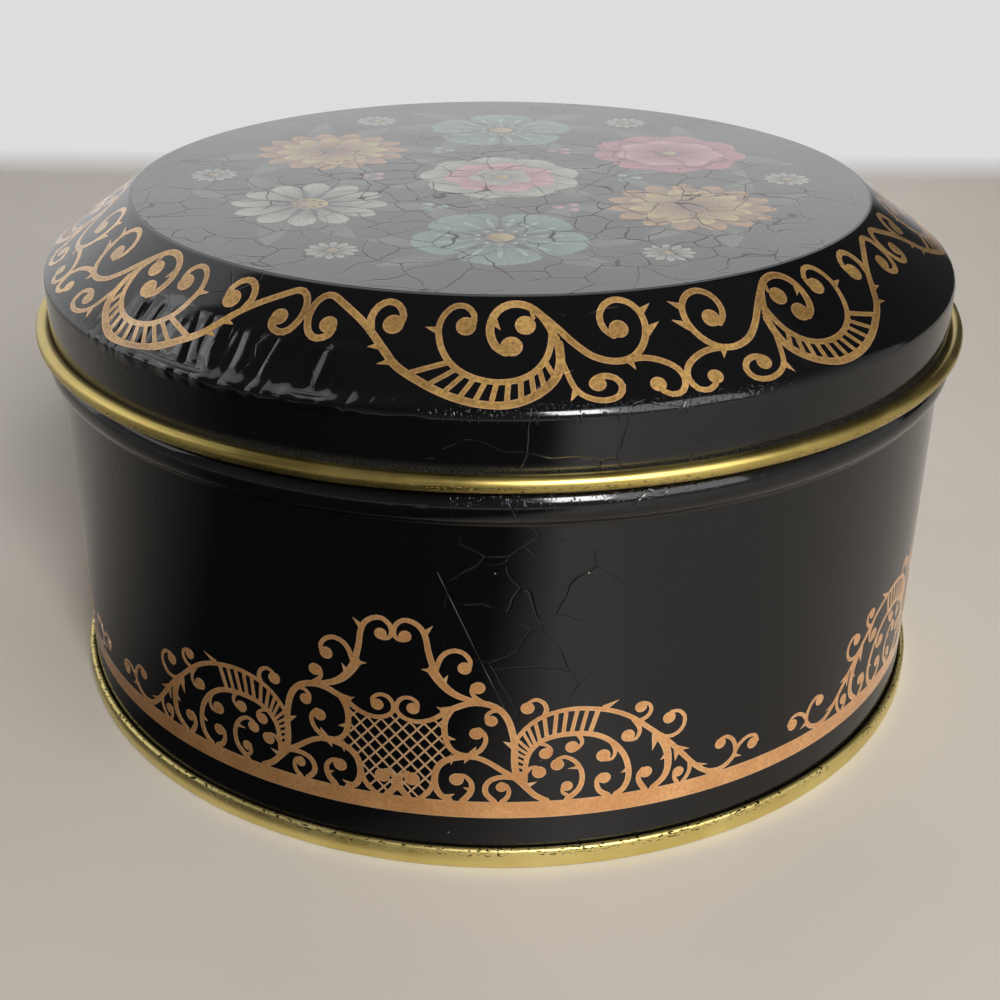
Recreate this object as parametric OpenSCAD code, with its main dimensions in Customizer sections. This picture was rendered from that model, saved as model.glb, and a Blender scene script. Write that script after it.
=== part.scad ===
// Round slip-lid tin: a rolled body wall, a base seamed onto its foot and a drawn lid that lifts off.
// Every piece is bent from thin sheet, so each profile is drawn as the sheet's centre line with bends.
// The origin is on the floor, at the middle of the base, with +Z up.

/* [Sheet] */
// Thickness of the tinplate
sheet_t = 0.28; // [0.2:0.01:0.4]

/* [Body] */
// Outside diameter of the body wall
body_d = 190; // [140:1:240]
// Height of the mouth above the floor
body_h = 92.5; // [60:0.5:140]
// Outside diameter of the curl that is rolled inwards at the mouth
mouth_curl_d = 3; // [2:0.1:4]
// How far the rib under the lid stands out of the wall
rib_out = 1.8; // [0.8:0.1:2.5]
// Radius of the rib's outer face, seen in section
rib_r = 3.8; // [3:0.1:6]
// Radius of the bend where the rib runs into the wall
rib_root_r = 1; // [0.6:0.1:1.5]
// Width of the folded side seam at the back
side_seam_w = 5; // [3:0.1:8]
// Width of the joint line that the side seam leaves outside
side_seam_line = 0.5; // [0.3:0.1:1]

/* [Lid] */
// Running clearance between the wall and the skirt of the lid
lid_gap = 0.35; // [0.2:0.05:0.6]
// Clearance between the lid's shoulder and the mouth that carries it
seat_gap = 0.3; // [0.2:0.05:0.5]
// Height of the skirt, from the shoulder's lower corner to the foot of its curl
skirt_h = 13.2; // [10:0.1:25]
// Clearance between the lid's curl and the rib below it
rib_gap = 1.25; // [0.5:0.05:3]
// Rise of the sloping shoulder
shoulder_h = 13.6; // [8:0.1:20]
// Width of the sloping shoulder, seen from above
shoulder_w = 18.3; // [10:0.1:30]
// Bend radius between the skirt and the shoulder
shoulder_bend_r = 2.6; // [1:0.1:3.5]
// Bend radius between the shoulder and the flat top
top_bend_r = 1.2; // [0.6:0.1:3]
// Outside diameter of the curl that is rolled outwards at the skirt's edge
lid_curl_d = 3.4; // [2.5:0.1:5]

/* [Base] */
// Height of the seam that locks the base to the wall
seam_h = 4.2; // [3:0.1:6]
// Clearance between the folded layers of the seam
seam_gap = 0.22; // [0.1:0.01:0.3]
// Height of the base panel's edge above the floor
panel_z = 4.8; // [4:0.1:8]
// Width of the flat margin between the wall and the raised middle of the base
panel_margin = 9; // [5:0.5:20]
// Height that the middle of the base is raised
panel_rise = 1.2; // [0.6:0.1:3]
// Bend radius in the base panel
panel_bend_r = 0.8; // [0.5:0.1:1.5]

/* [Hidden] */
$fn = 96;

// Colours of the lacquers
black_lacquer = "#16161a";
gold_lacquer = "#b99a45";

// Half the sheet, and the middle of the wall
half_t = sheet_t / 2;
body_r = body_d / 2;
wall_r = body_r - half_t;

// Sharp folds of the seam are bent round their own sheet
fold_r = sheet_t;
// Gap left between the raw end of a curl and the sheet that it meets
curl_end_gap = 0.12;
// Largest turn between two points of a bend, in degrees
bend_step = 12;

// Mouth curl, rolled inwards from the wall
mouth_curl_r = mouth_curl_d / 2 - half_t;
mouth_curl_centre_r = wall_r - mouth_curl_r;
mouth_curl_z = body_h - mouth_curl_d / 2;

// Lid: the skirt hangs outside the wall, and the shoulder rests on the mouth's curl
skirt_r = body_r + lid_gap + half_t;
slope = atan2(shoulder_h - half_t, shoulder_w);
seat_reach = mouth_curl_d / 2 + seat_gap + half_t;
crease_z = mouth_curl_z + (seat_reach - (skirt_r - mouth_curl_centre_r) * sin(slope)) / cos(slope);
lid_top_z = crease_z + shoulder_h;
lid_top_r = skirt_r - shoulder_w;
lid_curl_r = lid_curl_d / 2 - half_t;
lid_curl_centre_r = skirt_r + lid_curl_r;
lid_curl_z = crease_z - skirt_h + lid_curl_d / 2;

// Rib: the circle of its centre line, and its crest, which stays clear of the lid's curl
rib_mid_r = rib_r - half_t;
rib_centre_r = body_r + rib_out - rib_r;
rib_reach = rib_r + lid_curl_d / 2 + rib_gap;
rib_z = lid_curl_z - sqrt(pow(rib_reach, 2) - pow(lid_curl_centre_r - rib_centre_r, 2));

// Seam: chuck wall, body wall, cover hook, body hook and seaming wall, from the inside out
seam_pitch = sheet_t + seam_gap;
chuck_r = wall_r - seam_pitch;
cover_hook_r = wall_r + seam_pitch;
body_hook_r = wall_r + 2 * seam_pitch;
seaming_r = wall_r + 3 * seam_pitch;
seam_foot_z = half_t;
seam_top_z = seam_h - half_t;

// Side seam: three more layers of sheet inside the wall, cut short at the base, the rib and the mouth
side_seam_t = 3 * sheet_t;
side_seam_clear = 1.5;
rib_half_h = sqrt(pow(rib_r, 2) - pow(rib_r - rib_out, 2)) + rib_root_r;
base_top_z = panel_z + panel_rise + sheet_t;
side_seam_runs = [
    [base_top_z + side_seam_clear, rib_z - rib_half_h - side_seam_clear],
    [rib_z + rib_half_h + side_seam_clear, body_h - mouth_curl_d - side_seam_clear]
];
side_seam_line_depth = 0.4 * sheet_t;

// Unit vector of the line from a to b, its left-hand normal, and the angle of a vector
function along(a, b) = (b - a) / norm(b - a);
function left(v) = [-v[1], v[0]];
function heading(v) = atan2(v[1], v[0]);
// Turn at corner b of the path a, b, c: positive to the left
function turn(a, b, c) =
    let (u = along(a, b), v = along(b, c))
    atan2(u[0] * v[1] - u[1] * v[0], u * v);

// Points on a circle from one angle to another
function arc(centre, r, from, to) =
    let (steps = ceil(abs(to - from) / bend_step))
    [for (i = [0 : steps])
        let (angle = from + (to - from) * i / steps)
        centre + r * [cos(angle), sin(angle)]];

// Points of the bend of radius r that rounds corner b of the path a, b, c
function rounded(a, b, c, r) =
    let (
        u = along(a, b),
        swing = turn(a, b, c),
        side = sign(swing) * left(u),
        start = b - r * tan(abs(swing) / 2) * u,
        from = heading(-side)
    )
    arc(start + r * side, r, from, from + swing);

// Path of corners, with each corner between the ends rounded by its own bend radius
function bent(corners, radii) =
    let (last = len(corners) - 1)
    concat(
        [corners[0]],
        [for (i = [1 : last - 1])
            each rounded(corners[i - 1], corners[i], corners[i + 1], radii[i - 1])],
        [corners[last]]
    );

// Step from a point of the path to the face of the sheet, along the line that halves the turn there
function to_face(path, i) =
    let (
        last = len(path) - 1,
        before = along(path[max(i, 1) - 1], path[max(i, 1)]),
        after = along(path[min(i, last - 1)], path[min(i, last - 1) + 1]),
        middle = left(before) + left(after)
    )
    middle * sheet_t / (middle * middle);

// Sheet whose centre line is the path
module sheet(path) {
    last = len(path) - 1;
    polygon(concat(
        [for (i = [0 : last]) path[i] + to_face(path, i)],
        [for (i = [last : -1 : 0]) path[i] - to_face(path, i)]
    ));
}

// Angle of a curl that stops just short of the sheet it was rolled from
function curl_sweep(r) = 360 - 2 * asin((half_t + curl_end_gap) / r);

// Rolled wall: mouth curl, neck, rib, wall and the hook that the base folds round
module body_wall_profile() {
    root_r = rib_root_r + half_t;
    // The rib's circle meets the root bends at this angle above and below its crest
    root_angle = acos((wall_r + root_r - rib_centre_r) / (rib_mid_r + root_r));
    root_rise = (rib_mid_r + root_r) * sin(root_angle);
    hook_floor_z = seam_foot_z + seam_pitch;
    sheet(concat(
        arc([mouth_curl_centre_r, mouth_curl_z], mouth_curl_r, curl_sweep(mouth_curl_r), 0),
        arc([wall_r + root_r, rib_z + root_rise], root_r, 180, 180 + root_angle),
        arc([rib_centre_r, rib_z], rib_mid_r, root_angle - bend_step / 2, bend_step / 2 - root_angle),
        arc([wall_r + root_r, rib_z - root_rise], root_r, 180 - root_angle, 180),
        rounded(
            [wall_r, rib_z],
            [wall_r, hook_floor_z],
            [body_hook_r, hook_floor_z],
            fold_r
        ),
        rounded(
            [wall_r, hook_floor_z],
            [body_hook_r, hook_floor_z],
            [body_hook_r, seam_top_z],
            fold_r
        ),
        [[body_hook_r, seam_top_z - seam_pitch]]
    ));
}

// Arc of the wall at the back, centred on +Y, between two radii and two heights
module back_strip(inner_r, outer_r, width, low, high) {
    half_angle = width / body_r * 90 / PI;
    rotate([0, 0, 90 - half_angle])
        translate([0, 0, low])
            rotate_extrude(angle = 2 * half_angle)
                translate([inner_r, 0])
                    square([outer_r - inner_r, high - low]);
}

// Body: one sheet rolled to a tube, hooked together at the side seam
module body_wall() {
    color(black_lacquer)
        difference() {
            union() {
                rotate_extrude() body_wall_profile();
                for (run = side_seam_runs)
                    back_strip(body_r - sheet_t - side_seam_t, wall_r, side_seam_w, run[0], run[1]);
            }
            for (run = side_seam_runs)
                back_strip(body_r - side_seam_line_depth, body_r + sheet_t, side_seam_line, run[0], run[1]);
        }
}

// Base: a stamped panel whose edge is folded round the foot of the wall
module base_end() {
    margin_z = panel_z + half_t;
    middle_r = body_r - panel_margin;
    color(gold_lacquer)
        rotate_extrude()
            sheet(bent(
                [
                    [0, margin_z + panel_rise],
                    [middle_r - panel_rise, margin_z + panel_rise],
                    [middle_r, margin_z],
                    [chuck_r, margin_z],
                    [chuck_r, seam_foot_z],
                    [seaming_r, seam_foot_z],
                    [seaming_r, seam_top_z],
                    [cover_hook_r, seam_top_z],
                    [cover_hook_r, seam_foot_z + 2 * seam_pitch]
                ],
                [panel_bend_r, panel_bend_r, panel_bend_r, fold_r, fold_r, fold_r, fold_r]
            ));
}

// Lid: flat top, sloping shoulder and skirt, with a curl at the skirt's edge that turns the
// sheet's gold inside outwards
module lid_cap() {
    skirt_end = [skirt_r, lid_curl_z + sheet_t];
    color(black_lacquer)
        rotate_extrude()
            sheet(bent(
                [
                    [0, lid_top_z - half_t],
                    [lid_top_r, lid_top_z - half_t],
                    [skirt_r, crease_z],
                    skirt_end
                ],
                [top_bend_r, shoulder_bend_r]
            ));
    color(gold_lacquer)
        rotate_extrude()
            sheet(concat(
                [skirt_end],
                arc([lid_curl_centre_r, lid_curl_z], lid_curl_r, 180, 180 + curl_sweep(lid_curl_r))
            ));
}

body_wall();
base_end();
lid_cap();
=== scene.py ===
import math
from collections import namedtuple

import bpy
from mathutils import Matrix, Vector, noise
from mathutils.bvhtree import BVHTree
from mathutils.geometry import delaunay_2d_cdt


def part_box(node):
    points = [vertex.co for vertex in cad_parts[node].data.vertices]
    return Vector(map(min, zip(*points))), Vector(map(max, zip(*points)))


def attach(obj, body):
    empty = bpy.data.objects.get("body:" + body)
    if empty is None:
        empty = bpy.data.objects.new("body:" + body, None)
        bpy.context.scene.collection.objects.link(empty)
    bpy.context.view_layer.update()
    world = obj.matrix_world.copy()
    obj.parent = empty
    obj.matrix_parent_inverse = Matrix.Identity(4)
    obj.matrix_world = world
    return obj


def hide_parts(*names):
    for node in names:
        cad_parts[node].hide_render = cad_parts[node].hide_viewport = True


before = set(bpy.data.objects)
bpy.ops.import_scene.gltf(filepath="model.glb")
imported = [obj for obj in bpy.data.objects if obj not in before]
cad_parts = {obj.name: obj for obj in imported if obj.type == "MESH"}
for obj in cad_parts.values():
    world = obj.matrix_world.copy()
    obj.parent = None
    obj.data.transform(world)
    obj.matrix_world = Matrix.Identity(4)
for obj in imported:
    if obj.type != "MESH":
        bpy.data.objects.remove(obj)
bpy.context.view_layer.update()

# Body wall: one strip of tinplate rolled to a tube, lacquered black outside and gold inside.
# Its mouth is curled inwards to carry the lid, a rolled rib below the lid stiffens it, and its foot
# is folded outwards, where the base grips it.
MM = 0.001
SHEET = 0.28 * MM
HALF_SHEET = SHEET / 2
wall_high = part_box("body_wall")[1]
mouth_z = wall_high.z
mouth_curl_r = 1.5 * MM - HALF_SHEET
rib_out = 1.8 * MM
rib_drop = 17.46 * MM
rib_r = 3.8 * MM
rib_root_r = 1 * MM + HALF_SHEET
wall_r = wall_high.x - rib_out
wall_mid = wall_r - HALF_SHEET
rib_z = mouth_z - rib_drop
seam_pitch = 0.5 * MM
seam_h = 4.2 * MM
hook_r = wall_mid + 2 * seam_pitch
hook_z = HALF_SHEET + seam_pitch
GOLD = ("#9c8542", "#d3bf74")
columns = 360
# Usual size of the islands between cracks, the place where the wall is cracked most, and how far
# the cracks reach from it
CRACK_CELL = 11 * MM
wall_cracks = (Vector((15, -94, 57)) * MM, 35 * MM)
# Heights between which the rib is scuffed outside and chipped inside
rib_scuffs = (rib_z, rib_z + 4 * MM)
rib_chips = (rib_z - 2 * MM, rib_z + 2 * MM)


def arc(centre_r, centre_z, radius, start, end, steps):
    """Points (r, z) on a circle, from one angle to another in degrees."""
    angles = [math.radians(start + (end - start) * i / steps) for i in range(steps + 1)]
    return [(centre_r + radius * math.cos(a), centre_z + radius * math.sin(a)) for a in angles]


def sheet_section(name, path):
    """Mesh of the points (r, 0, z) round the section of a sheet, from its centre line.

    The face on the left of the line comes first; "inside" is 1 on the face on its right.
    """
    points = [Vector(p) for p in path]
    steps = [(b - a).normalized() for a, b in zip(points, points[1:])]
    to_left = []
    for before, after in zip(steps[:1] + steps, steps + steps[-1:]):
        middle = Vector((-before.y - after.y, before.x + after.x))
        to_left.append(middle * SHEET / middle.length_squared)
    left = [p + step for p, step in zip(points, to_left)]
    right = [p - step for p, step in zip(points, to_left)]
    mesh = bpy.data.meshes.new(name)
    mesh.from_pydata([(max(p.x, 0), 0, p.y) for p in left + right[::-1]], [], [])
    inside = mesh.attributes.new("inside", "FLOAT", "POINT")
    inside.data.foreach_set("value", [0.0] * len(left) + [1.0] * len(right))
    return mesh


def feed(tree, node, inputs):
    """Give a node its inputs: values, sockets, or nodes, whose first output in use is taken."""
    for key, value in inputs.items():
        if isinstance(value, bpy.types.Node):
            value = next(socket for socket in value.outputs if socket.enabled)
        if isinstance(value, bpy.types.NodeSocket):
            tree.links.new(value, node.inputs[key])
        else:
            node.inputs[key].default_value = value


def add(tree, kind, inputs=None, **settings):
    """New node: settings are its properties, and inputs are what feeds it."""
    node = tree.nodes.new(kind)
    for name, value in settings.items():
        setattr(node, name, value)
    feed(tree, node, inputs or {})
    return node


def new_tree(name, inputs):
    """New geometry tree with named inputs, and the sockets that bring them in."""
    tree = bpy.data.node_groups.new(name, "GeometryNodeTree")
    for socket, kind in {"Geometry": "Geometry", **inputs}.items():
        tree.interface.new_socket(socket, in_out="INPUT", socket_type="NodeSocket" + kind)
    tree.interface.new_socket("Geometry", in_out="OUTPUT", socket_type="NodeSocketGeometry")
    return tree, add(tree, "NodeGroupInput").outputs


def made_by(tree, name, mesh, **values):
    """Object with the plain mesh that a tree makes from a mesh and the values of its inputs."""
    piece = bpy.data.objects.new(name, mesh)
    bpy.context.scene.collection.objects.link(piece)
    modifier = piece.modifiers.new(tree.name, "NODES")
    modifier.node_group = tree
    for socket in tree.interface.items_tree:
        if socket.in_out == "INPUT" and socket.name in values:
            modifier[socket.identifier] = values[socket.name]
    graph = bpy.context.evaluated_depsgraph_get()
    shaped = bpy.data.meshes.new_from_object(
        piece.evaluated_get(graph), preserve_all_data_layers=True, depsgraph=graph
    )
    # The mesh that goes in has no material, which leaves an empty first slot
    shaped.materials.pop(index=0)
    piece.modifiers.remove(modifier)
    piece.data = shaped
    bpy.data.meshes.remove(mesh)
    return piece


def welded(tree, geometry, gap):
    """The mesh, made real, with its seams closed and smooth shading but for the sheet's sharp edges."""
    softest_edge = math.radians(50)
    closed = add(tree, "GeometryNodeMergeByDistance", {0: geometry, "Distance": gap})
    bend = add(tree, "GeometryNodeInputMeshEdgeAngle").outputs["Unsigned Angle"]
    sharp = add(tree, "FunctionNodeCompare", {0: bend, 1: softest_edge})
    smooth_faces = add(tree, "GeometryNodeSetShadeSmooth", {0: closed})
    edges = add(
        tree,
        "GeometryNodeSetShadeSmooth",
        {0: smooth_faces, "Selection": sharp, "Shade Smooth": False},
        domain="EDGE",
    )
    return add(tree, "GeometryNodeRealizeInstances", {0: edges})


def turned_sheet_tree():
    """A sheet's section turned round the Z axis, with one finish outside and another inside."""
    tree, given = new_tree("turned_sheet", {"Columns": "Int", "Outside": "Material", "Inside": "Material"})
    section = given["Geometry"]
    points = add(tree, "GeometryNodeAttributeDomainSize", {0: section}).outputs["Point Count"]
    rows = add(tree, "ShaderNodeMath", {0: points, 1: 1.0})
    lines = add(tree, "ShaderNodeMath", {0: given["Columns"], 1: 1.0})
    grid = add(tree, "GeometryNodeMeshGrid", {"Vertices X": lines, "Vertices Y": rows})
    index = add(tree, "GeometryNodeInputIndex")
    row = add(tree, "ShaderNodeMath", {0: index, 1: rows}, operation="MODULO")
    # The last row is the section's first point again, which closes the section
    point = add(tree, "ShaderNodeMath", {0: row, 1: points}, operation="MODULO")
    share = add(tree, "ShaderNodeMath", {0: index, 1: rows}, operation="DIVIDE")
    column = add(tree, "ShaderNodeMath", {0: share}, operation="FLOOR")
    pitch = add(tree, "ShaderNodeMath", {0: -math.tau, 1: given["Columns"]}, operation="DIVIDE")
    angle = add(tree, "ShaderNodeMath", {0: column, 1: pitch}, operation="MULTIPLY")
    here = add(tree, "GeometryNodeInputPosition")
    spot = add(
        tree,
        "GeometryNodeSampleIndex",
        {"Geometry": section, "Value": here, "Index": point},
        data_type="FLOAT_VECTOR",
    )
    turned = add(tree, "ShaderNodeVectorRotate", {"Vector": spot, "Angle": angle}, rotation_type="Z_AXIS")
    inside = add(tree, "GeometryNodeInputNamedAttribute", {"Name": "inside"})
    flag = add(
        tree,
        "GeometryNodeSampleIndex",
        {"Geometry": section, "Value": inside, "Index": point},
        data_type="FLOAT",
    )
    flagged = add(
        tree,
        "GeometryNodeStoreNamedAttribute",
        {"Geometry": grid.outputs["Mesh"], "Name": "inside", "Value": flag},
        data_type="FLOAT",
        domain="POINT",
    )
    placed = add(tree, "GeometryNodeSetPosition", {"Geometry": flagged, "Position": turned})
    real = welded(tree, placed, 0.001 * MM)
    outside = add(tree, "GeometryNodeSetMaterial", {0: real, "Material": given["Outside"]})
    right_face = add(tree, "FunctionNodeCompare", {0: inside, 1: 0.99})
    lined = add(
        tree,
        "GeometryNodeSetMaterial",
        {0: outside, "Selection": right_face, "Material": given["Inside"]},
    )
    add(tree, "NodeGroupOutput", {0: lined})
    return tree


turned_sheet = turned_sheet_tree()


def linear(colour):
    """Linear RGBA of an sRGB hex colour."""
    parts = [int(colour[i : i + 2], 16) / 255 for i in (1, 3, 5)]
    return [p / 12.92 if p <= 0.04045 else ((p + 0.055) / 1.055) ** 2.4 for p in parts] + [1.0]


def new_material(name):
    """New material, its node tree, its shader and the place of each point on the object."""
    material = bpy.data.materials.new(name)
    material.use_nodes = True
    tree = material.node_tree
    place = add(tree, "ShaderNodeTexCoord").outputs["Object"]
    return material, tree, tree.nodes["Principled BSDF"], place


def band(tree, place, low, high):
    """1 between two heights and 0 away from them."""
    height = add(tree, "ShaderNodeSeparateXYZ", {0: place}).outputs["Z"]
    off = add(tree, "ShaderNodeMath", {0: height, 1: (low + high) / 2}, operation="SUBTRACT")
    away = add(tree, "ShaderNodeMath", {0: off}, operation="ABSOLUTE")
    inside = {"From Min": (high - low) / 3, "From Max": (high - low) / 2, "To Min": 1.0, "To Max": 0.0}
    return add(tree, "ShaderNodeMapRange", {"Value": away, **inside})


def nearness(tree, place, middle, reach):
    """1 near a place and 0 beyond a distance from it."""
    gap = add(tree, "ShaderNodeVectorMath", {0: place, 1: middle}, operation="DISTANCE")
    fade = {"From Min": 0.5 * reach, "From Max": reach, "To Min": 1.0, "To Max": 0.0}
    return add(tree, "ShaderNodeMapRange", {"Value": gap, **fade})


def patchy(tree, place, size, detail, low, high, least=0.0, most=1.0):
    """Value in patches of a size: least where their noise is under low, most where it is over high."""
    cloud = add(tree, "ShaderNodeTexNoise", {"Vector": place, "Scale": 1 / size, "Detail": detail})
    spread = {"From Min": low, "From Max": high, "To Min": least, "To Max": most}
    return add(tree, "ShaderNodeMapRange", {"Value": cloud, **spread})


def crazing(tree, place, cell, middle, reach):
    """Hairline cracks of old lacquer, 1 in a crack: plain near a place, faint farther away."""
    half_width = 0.19 * MM
    patch_size = 16 * MM
    drift = add(tree, "ShaderNodeTexNoise", {"Vector": place, "Scale": 1 / cell, "Detail": 1.5})
    sway = add(
        tree, "ShaderNodeVectorMath", {0: drift.outputs["Color"], "Scale": 0.6 * cell}, operation="SCALE"
    )
    bent_place = add(tree, "ShaderNodeVectorMath", {0: place, 1: sway})
    cells = add(
        tree,
        "ShaderNodeTexVoronoi",
        {"Vector": bent_place, "Scale": 1 / cell},
        feature="DISTANCE_TO_EDGE",
    )
    edge = half_width / cell
    thin = {"From Min": 0.2 * edge, "From Max": edge, "To Min": 1.0, "To Max": 0.0}
    line = add(tree, "ShaderNodeMapRange", {"Value": cells.outputs["Distance"], **thin})
    near = add(
        tree, "ShaderNodeMath", {0: nearness(tree, place, middle, reach), 1: 0.25}, operation="MAXIMUM"
    )
    uneven = patchy(tree, place, patch_size, 2.0, 0.32, 0.52)
    depth = add(tree, "ShaderNodeMath", {0: near, 1: uneven}, operation="MULTIPLY")
    return add(tree, "ShaderNodeMath", {0: line, 1: depth}, operation="MULTIPLY")


def black_lacquer(name, cracked, scuffed, marks):
    """Stoved black lacquer, cracked near a place, scuffed between two heights, with pale marks."""
    # Black resin baked hard on the sheet: a wet, deep black with sharp reflections, a faint orange
    # peel, hairline cracks from age, a ridge rubbed by handling and a little settled dust.
    speck_gap = 8 * MM
    smudge_size = 28 * MM
    nick_width = 0.5 * MM
    peel_size = 4 * MM
    material, tree, shader, place = new_material(name)
    cracks = crazing(tree, place, CRACK_CELL, *cracked)
    specks = add(tree, "ShaderNodeTexVoronoi", {"Vector": place, "Scale": 1 / speck_gap})
    small = {"From Min": 0.01, "From Max": 0.03, "To Min": 1.0, "To Max": 0.0}
    dot = add(tree, "ShaderNodeMapRange", {"Value": specks.outputs["Distance"], **small})
    chance = add(tree, "ShaderNodeSeparateColor", {0: specks.outputs["Color"]})
    rare = add(tree, "ShaderNodeMath", {0: chance, 1: 0.86}, operation="GREATER_THAN")
    dust = add(tree, "ShaderNodeMath", {0: dot, 1: rare}, operation="MULTIPLY")
    pale = add(tree, "ShaderNodeMath", {0: dust, 1: marks(tree, place)}, operation="MAXIMUM")
    colour = add(
        tree, "ShaderNodeMix", {0: pale, 6: linear("#060607"), 7: linear("#8f8b82")}, data_type="RGBA"
    )
    gloss = patchy(tree, place, smudge_size, 4.0, 0.3, 0.7, 0.06, 0.13)
    dusty = add(tree, "ShaderNodeMath", {0: pale, 1: 5.0}, operation="MULTIPLY", use_clamp=True)
    roughness = add(tree, "ShaderNodeMix", {0: dusty, 2: gloss, 3: 0.8})
    # Scuffs: short nicks across the ridge, five times as long as they are wide
    upright = add(tree, "ShaderNodeMapping", {"Vector": place, "Scale": (1, 1, 0.2)})
    nicks = patchy(tree, upright, nick_width, 3.0, 0.58, 0.7)
    ridge = add(
        tree,
        "ShaderNodeMath",
        {0: nearness(tree, place, *cracked), 1: band(tree, place, *scuffed)},
        operation="MULTIPLY",
    )
    rubbed = add(tree, "ShaderNodeMath", {0: nicks, 1: ridge}, operation="MULTIPLY")
    peel = add(tree, "ShaderNodeTexNoise", {"Vector": place, "Scale": 1 / peel_size, "Detail": 1.0})
    skin = add(tree, "ShaderNodeBump", {"Height": peel, "Distance": 0.006 * MM})
    worn = add(tree, "ShaderNodeBump", {"Height": rubbed, "Distance": 0.07 * MM, "Normal": skin})
    split = add(
        tree, "ShaderNodeBump", {"Height": cracks, "Distance": 0.05 * MM, "Normal": worn}, invert=True
    )
    feed(tree, shader, {"Base Color": colour, "Roughness": roughness, "Normal": split, "IOR": 1.45})
    return material


def gold_lacquer(name, dark, light, dull, chip_low, chip_high, wear):
    """Gold-lacquered tinplate, with chips over a share of the band between two heights."""
    # Tinplate under a thin yellow varnish: the bright metal shows through as a soft brass, with
    # darker smudges, and small chips where the varnish has gone and the metal has tarnished.
    smudge_size = 12 * MM
    chip_length = 0.9 * MM
    patch_size = 16 * MM
    material, tree, shader, place = new_material(name)
    smudges = add(tree, "ShaderNodeTexNoise", {"Vector": place, "Scale": 1 / smudge_size, "Detail": 5.0})
    tone = add(tree, "ShaderNodeMix", {0: smudges, 6: linear(dark), 7: linear(light)}, data_type="RGBA")
    # The chips lie along the edge, a third as high as they are long
    level = add(tree, "ShaderNodeMapping", {"Vector": place, "Scale": (1, 1, 3)})
    grit = patchy(tree, level, chip_length, 3.0, 0.64 - 0.1 * wear, 0.69 - 0.1 * wear)
    worn = patchy(tree, place, patch_size, 2.0, 0.55 - 0.3 * wear, 0.65 - 0.3 * wear)
    near = add(
        tree, "ShaderNodeMath", {0: band(tree, place, chip_low, chip_high), 1: worn}, operation="MULTIPLY"
    )
    chips = add(tree, "ShaderNodeMath", {0: near, 1: grit}, operation="MULTIPLY")
    colour = add(tree, "ShaderNodeMix", {0: chips, 6: tone, 7: linear("#2b2414")}, data_type="RGBA")
    rubbed = {"From Min": 0.3, "From Max": 0.7, "To Min": dull, "To Max": dull + 0.12}
    gloss = add(tree, "ShaderNodeMapRange", {"Value": smudges, **rubbed})
    roughness = add(tree, "ShaderNodeMix", {0: chips, 2: gloss, 3: 0.65})
    pits = add(tree, "ShaderNodeBump", {"Height": chips, "Distance": 0.04 * MM}, invert=True)
    feed(tree, shader, {"Base Color": colour, "Roughness": roughness, "Normal": pits, "Metallic": 1.0})
    return material


def turn_from_front(tree, spot):
    """Angle of a spot round the tin, from the front towards the right."""
    ahead = add(tree, "ShaderNodeMath", {0: spot["Y"], 1: -1.0}, operation="MULTIPLY")
    return add(tree, "ShaderNodeMath", {0: spot["X"], 1: ahead}, operation="ARCTAN2")


def scratch(tree, place):
    """One long fine scratch down the front of the wall: how pale it is, and 0 beside it."""
    top = Vector((-10.2 * MM, 62.4 * MM))
    foot = Vector((1.5 * MM, 34.6 * MM))
    fall = foot - top
    # It bites deeper in some stretches than in others
    stretch = 5 * MM
    split = add(tree, "ShaderNodeSeparateXYZ", {0: place}).outputs
    turn = turn_from_front(tree, split)
    round_wall = add(tree, "ShaderNodeMath", {0: turn, 1: wall_r}, operation="MULTIPLY")
    flat = add(tree, "ShaderNodeCombineXYZ", {"X": round_wall, "Y": split["Z"]})
    line_of_fall = {"Location": (top.x, top.y, 0), "Rotation": (0, 0, math.atan2(fall.y, fall.x))}
    along = add(tree, "ShaderNodeMapping", {"Vector": flat, **line_of_fall}, vector_type="TEXTURE")
    spot = add(tree, "ShaderNodeSeparateXYZ", {0: along}).outputs
    aside = add(tree, "ShaderNodeMath", {0: spot["Y"]}, operation="ABSOLUTE")
    bite = patchy(tree, place, stretch, 2.0, 0.38, 0.62, 0.08, 0.55)
    thin = {"From Min": 0.02 * MM, "From Max": 0.06 * MM, "To Min": bite, "To Max": 0.0}
    line = add(tree, "ShaderNodeMapRange", {"Value": aside, **thin})
    past = add(tree, "ShaderNodeMath", {0: spot["X"], 1: fall.length / 2}, operation="SUBTRACT")
    beyond = add(tree, "ShaderNodeMath", {0: past}, operation="ABSOLUTE")
    within = add(tree, "ShaderNodeMath", {0: beyond, 1: fall.length / 2}, operation="LESS_THAN")
    return add(tree, "ShaderNodeMath", {0: line, 1: within}, operation="MULTIPLY")


# Where the rib's round meets the bends at its two roots, and how much of it they take up
root_turn = math.degrees(
    math.acos((wall_mid + rib_root_r - (wall_r + rib_out - rib_r)) / (rib_r - HALF_SHEET + rib_root_r))
)
rib_trim = 5
rib_turn = root_turn - rib_trim
root_rise = (rib_r - HALF_SHEET + rib_root_r) * math.sin(math.radians(root_turn))
wall_path = (
    arc(wall_mid - mouth_curl_r, mouth_z - mouth_curl_r - HALF_SHEET, mouth_curl_r, 338, 0, 24)
    + arc(wall_mid + rib_root_r, rib_z + root_rise, rib_root_r, 180, 180 + root_turn, 6)
    + arc(wall_r + rib_out - rib_r, rib_z, rib_r - HALF_SHEET, rib_turn, -rib_turn, 12)
    + arc(wall_mid + rib_root_r, rib_z - root_rise, rib_root_r, 180 - root_turn, 180, 6)
    + arc(wall_mid + SHEET, hook_z + SHEET, SHEET, 180, 270, 3)
    + arc(hook_r - SHEET, hook_z + SHEET, SHEET, 270, 360, 3)
    + [(hook_r, seam_h - HALF_SHEET - seam_pitch)]
)
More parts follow.
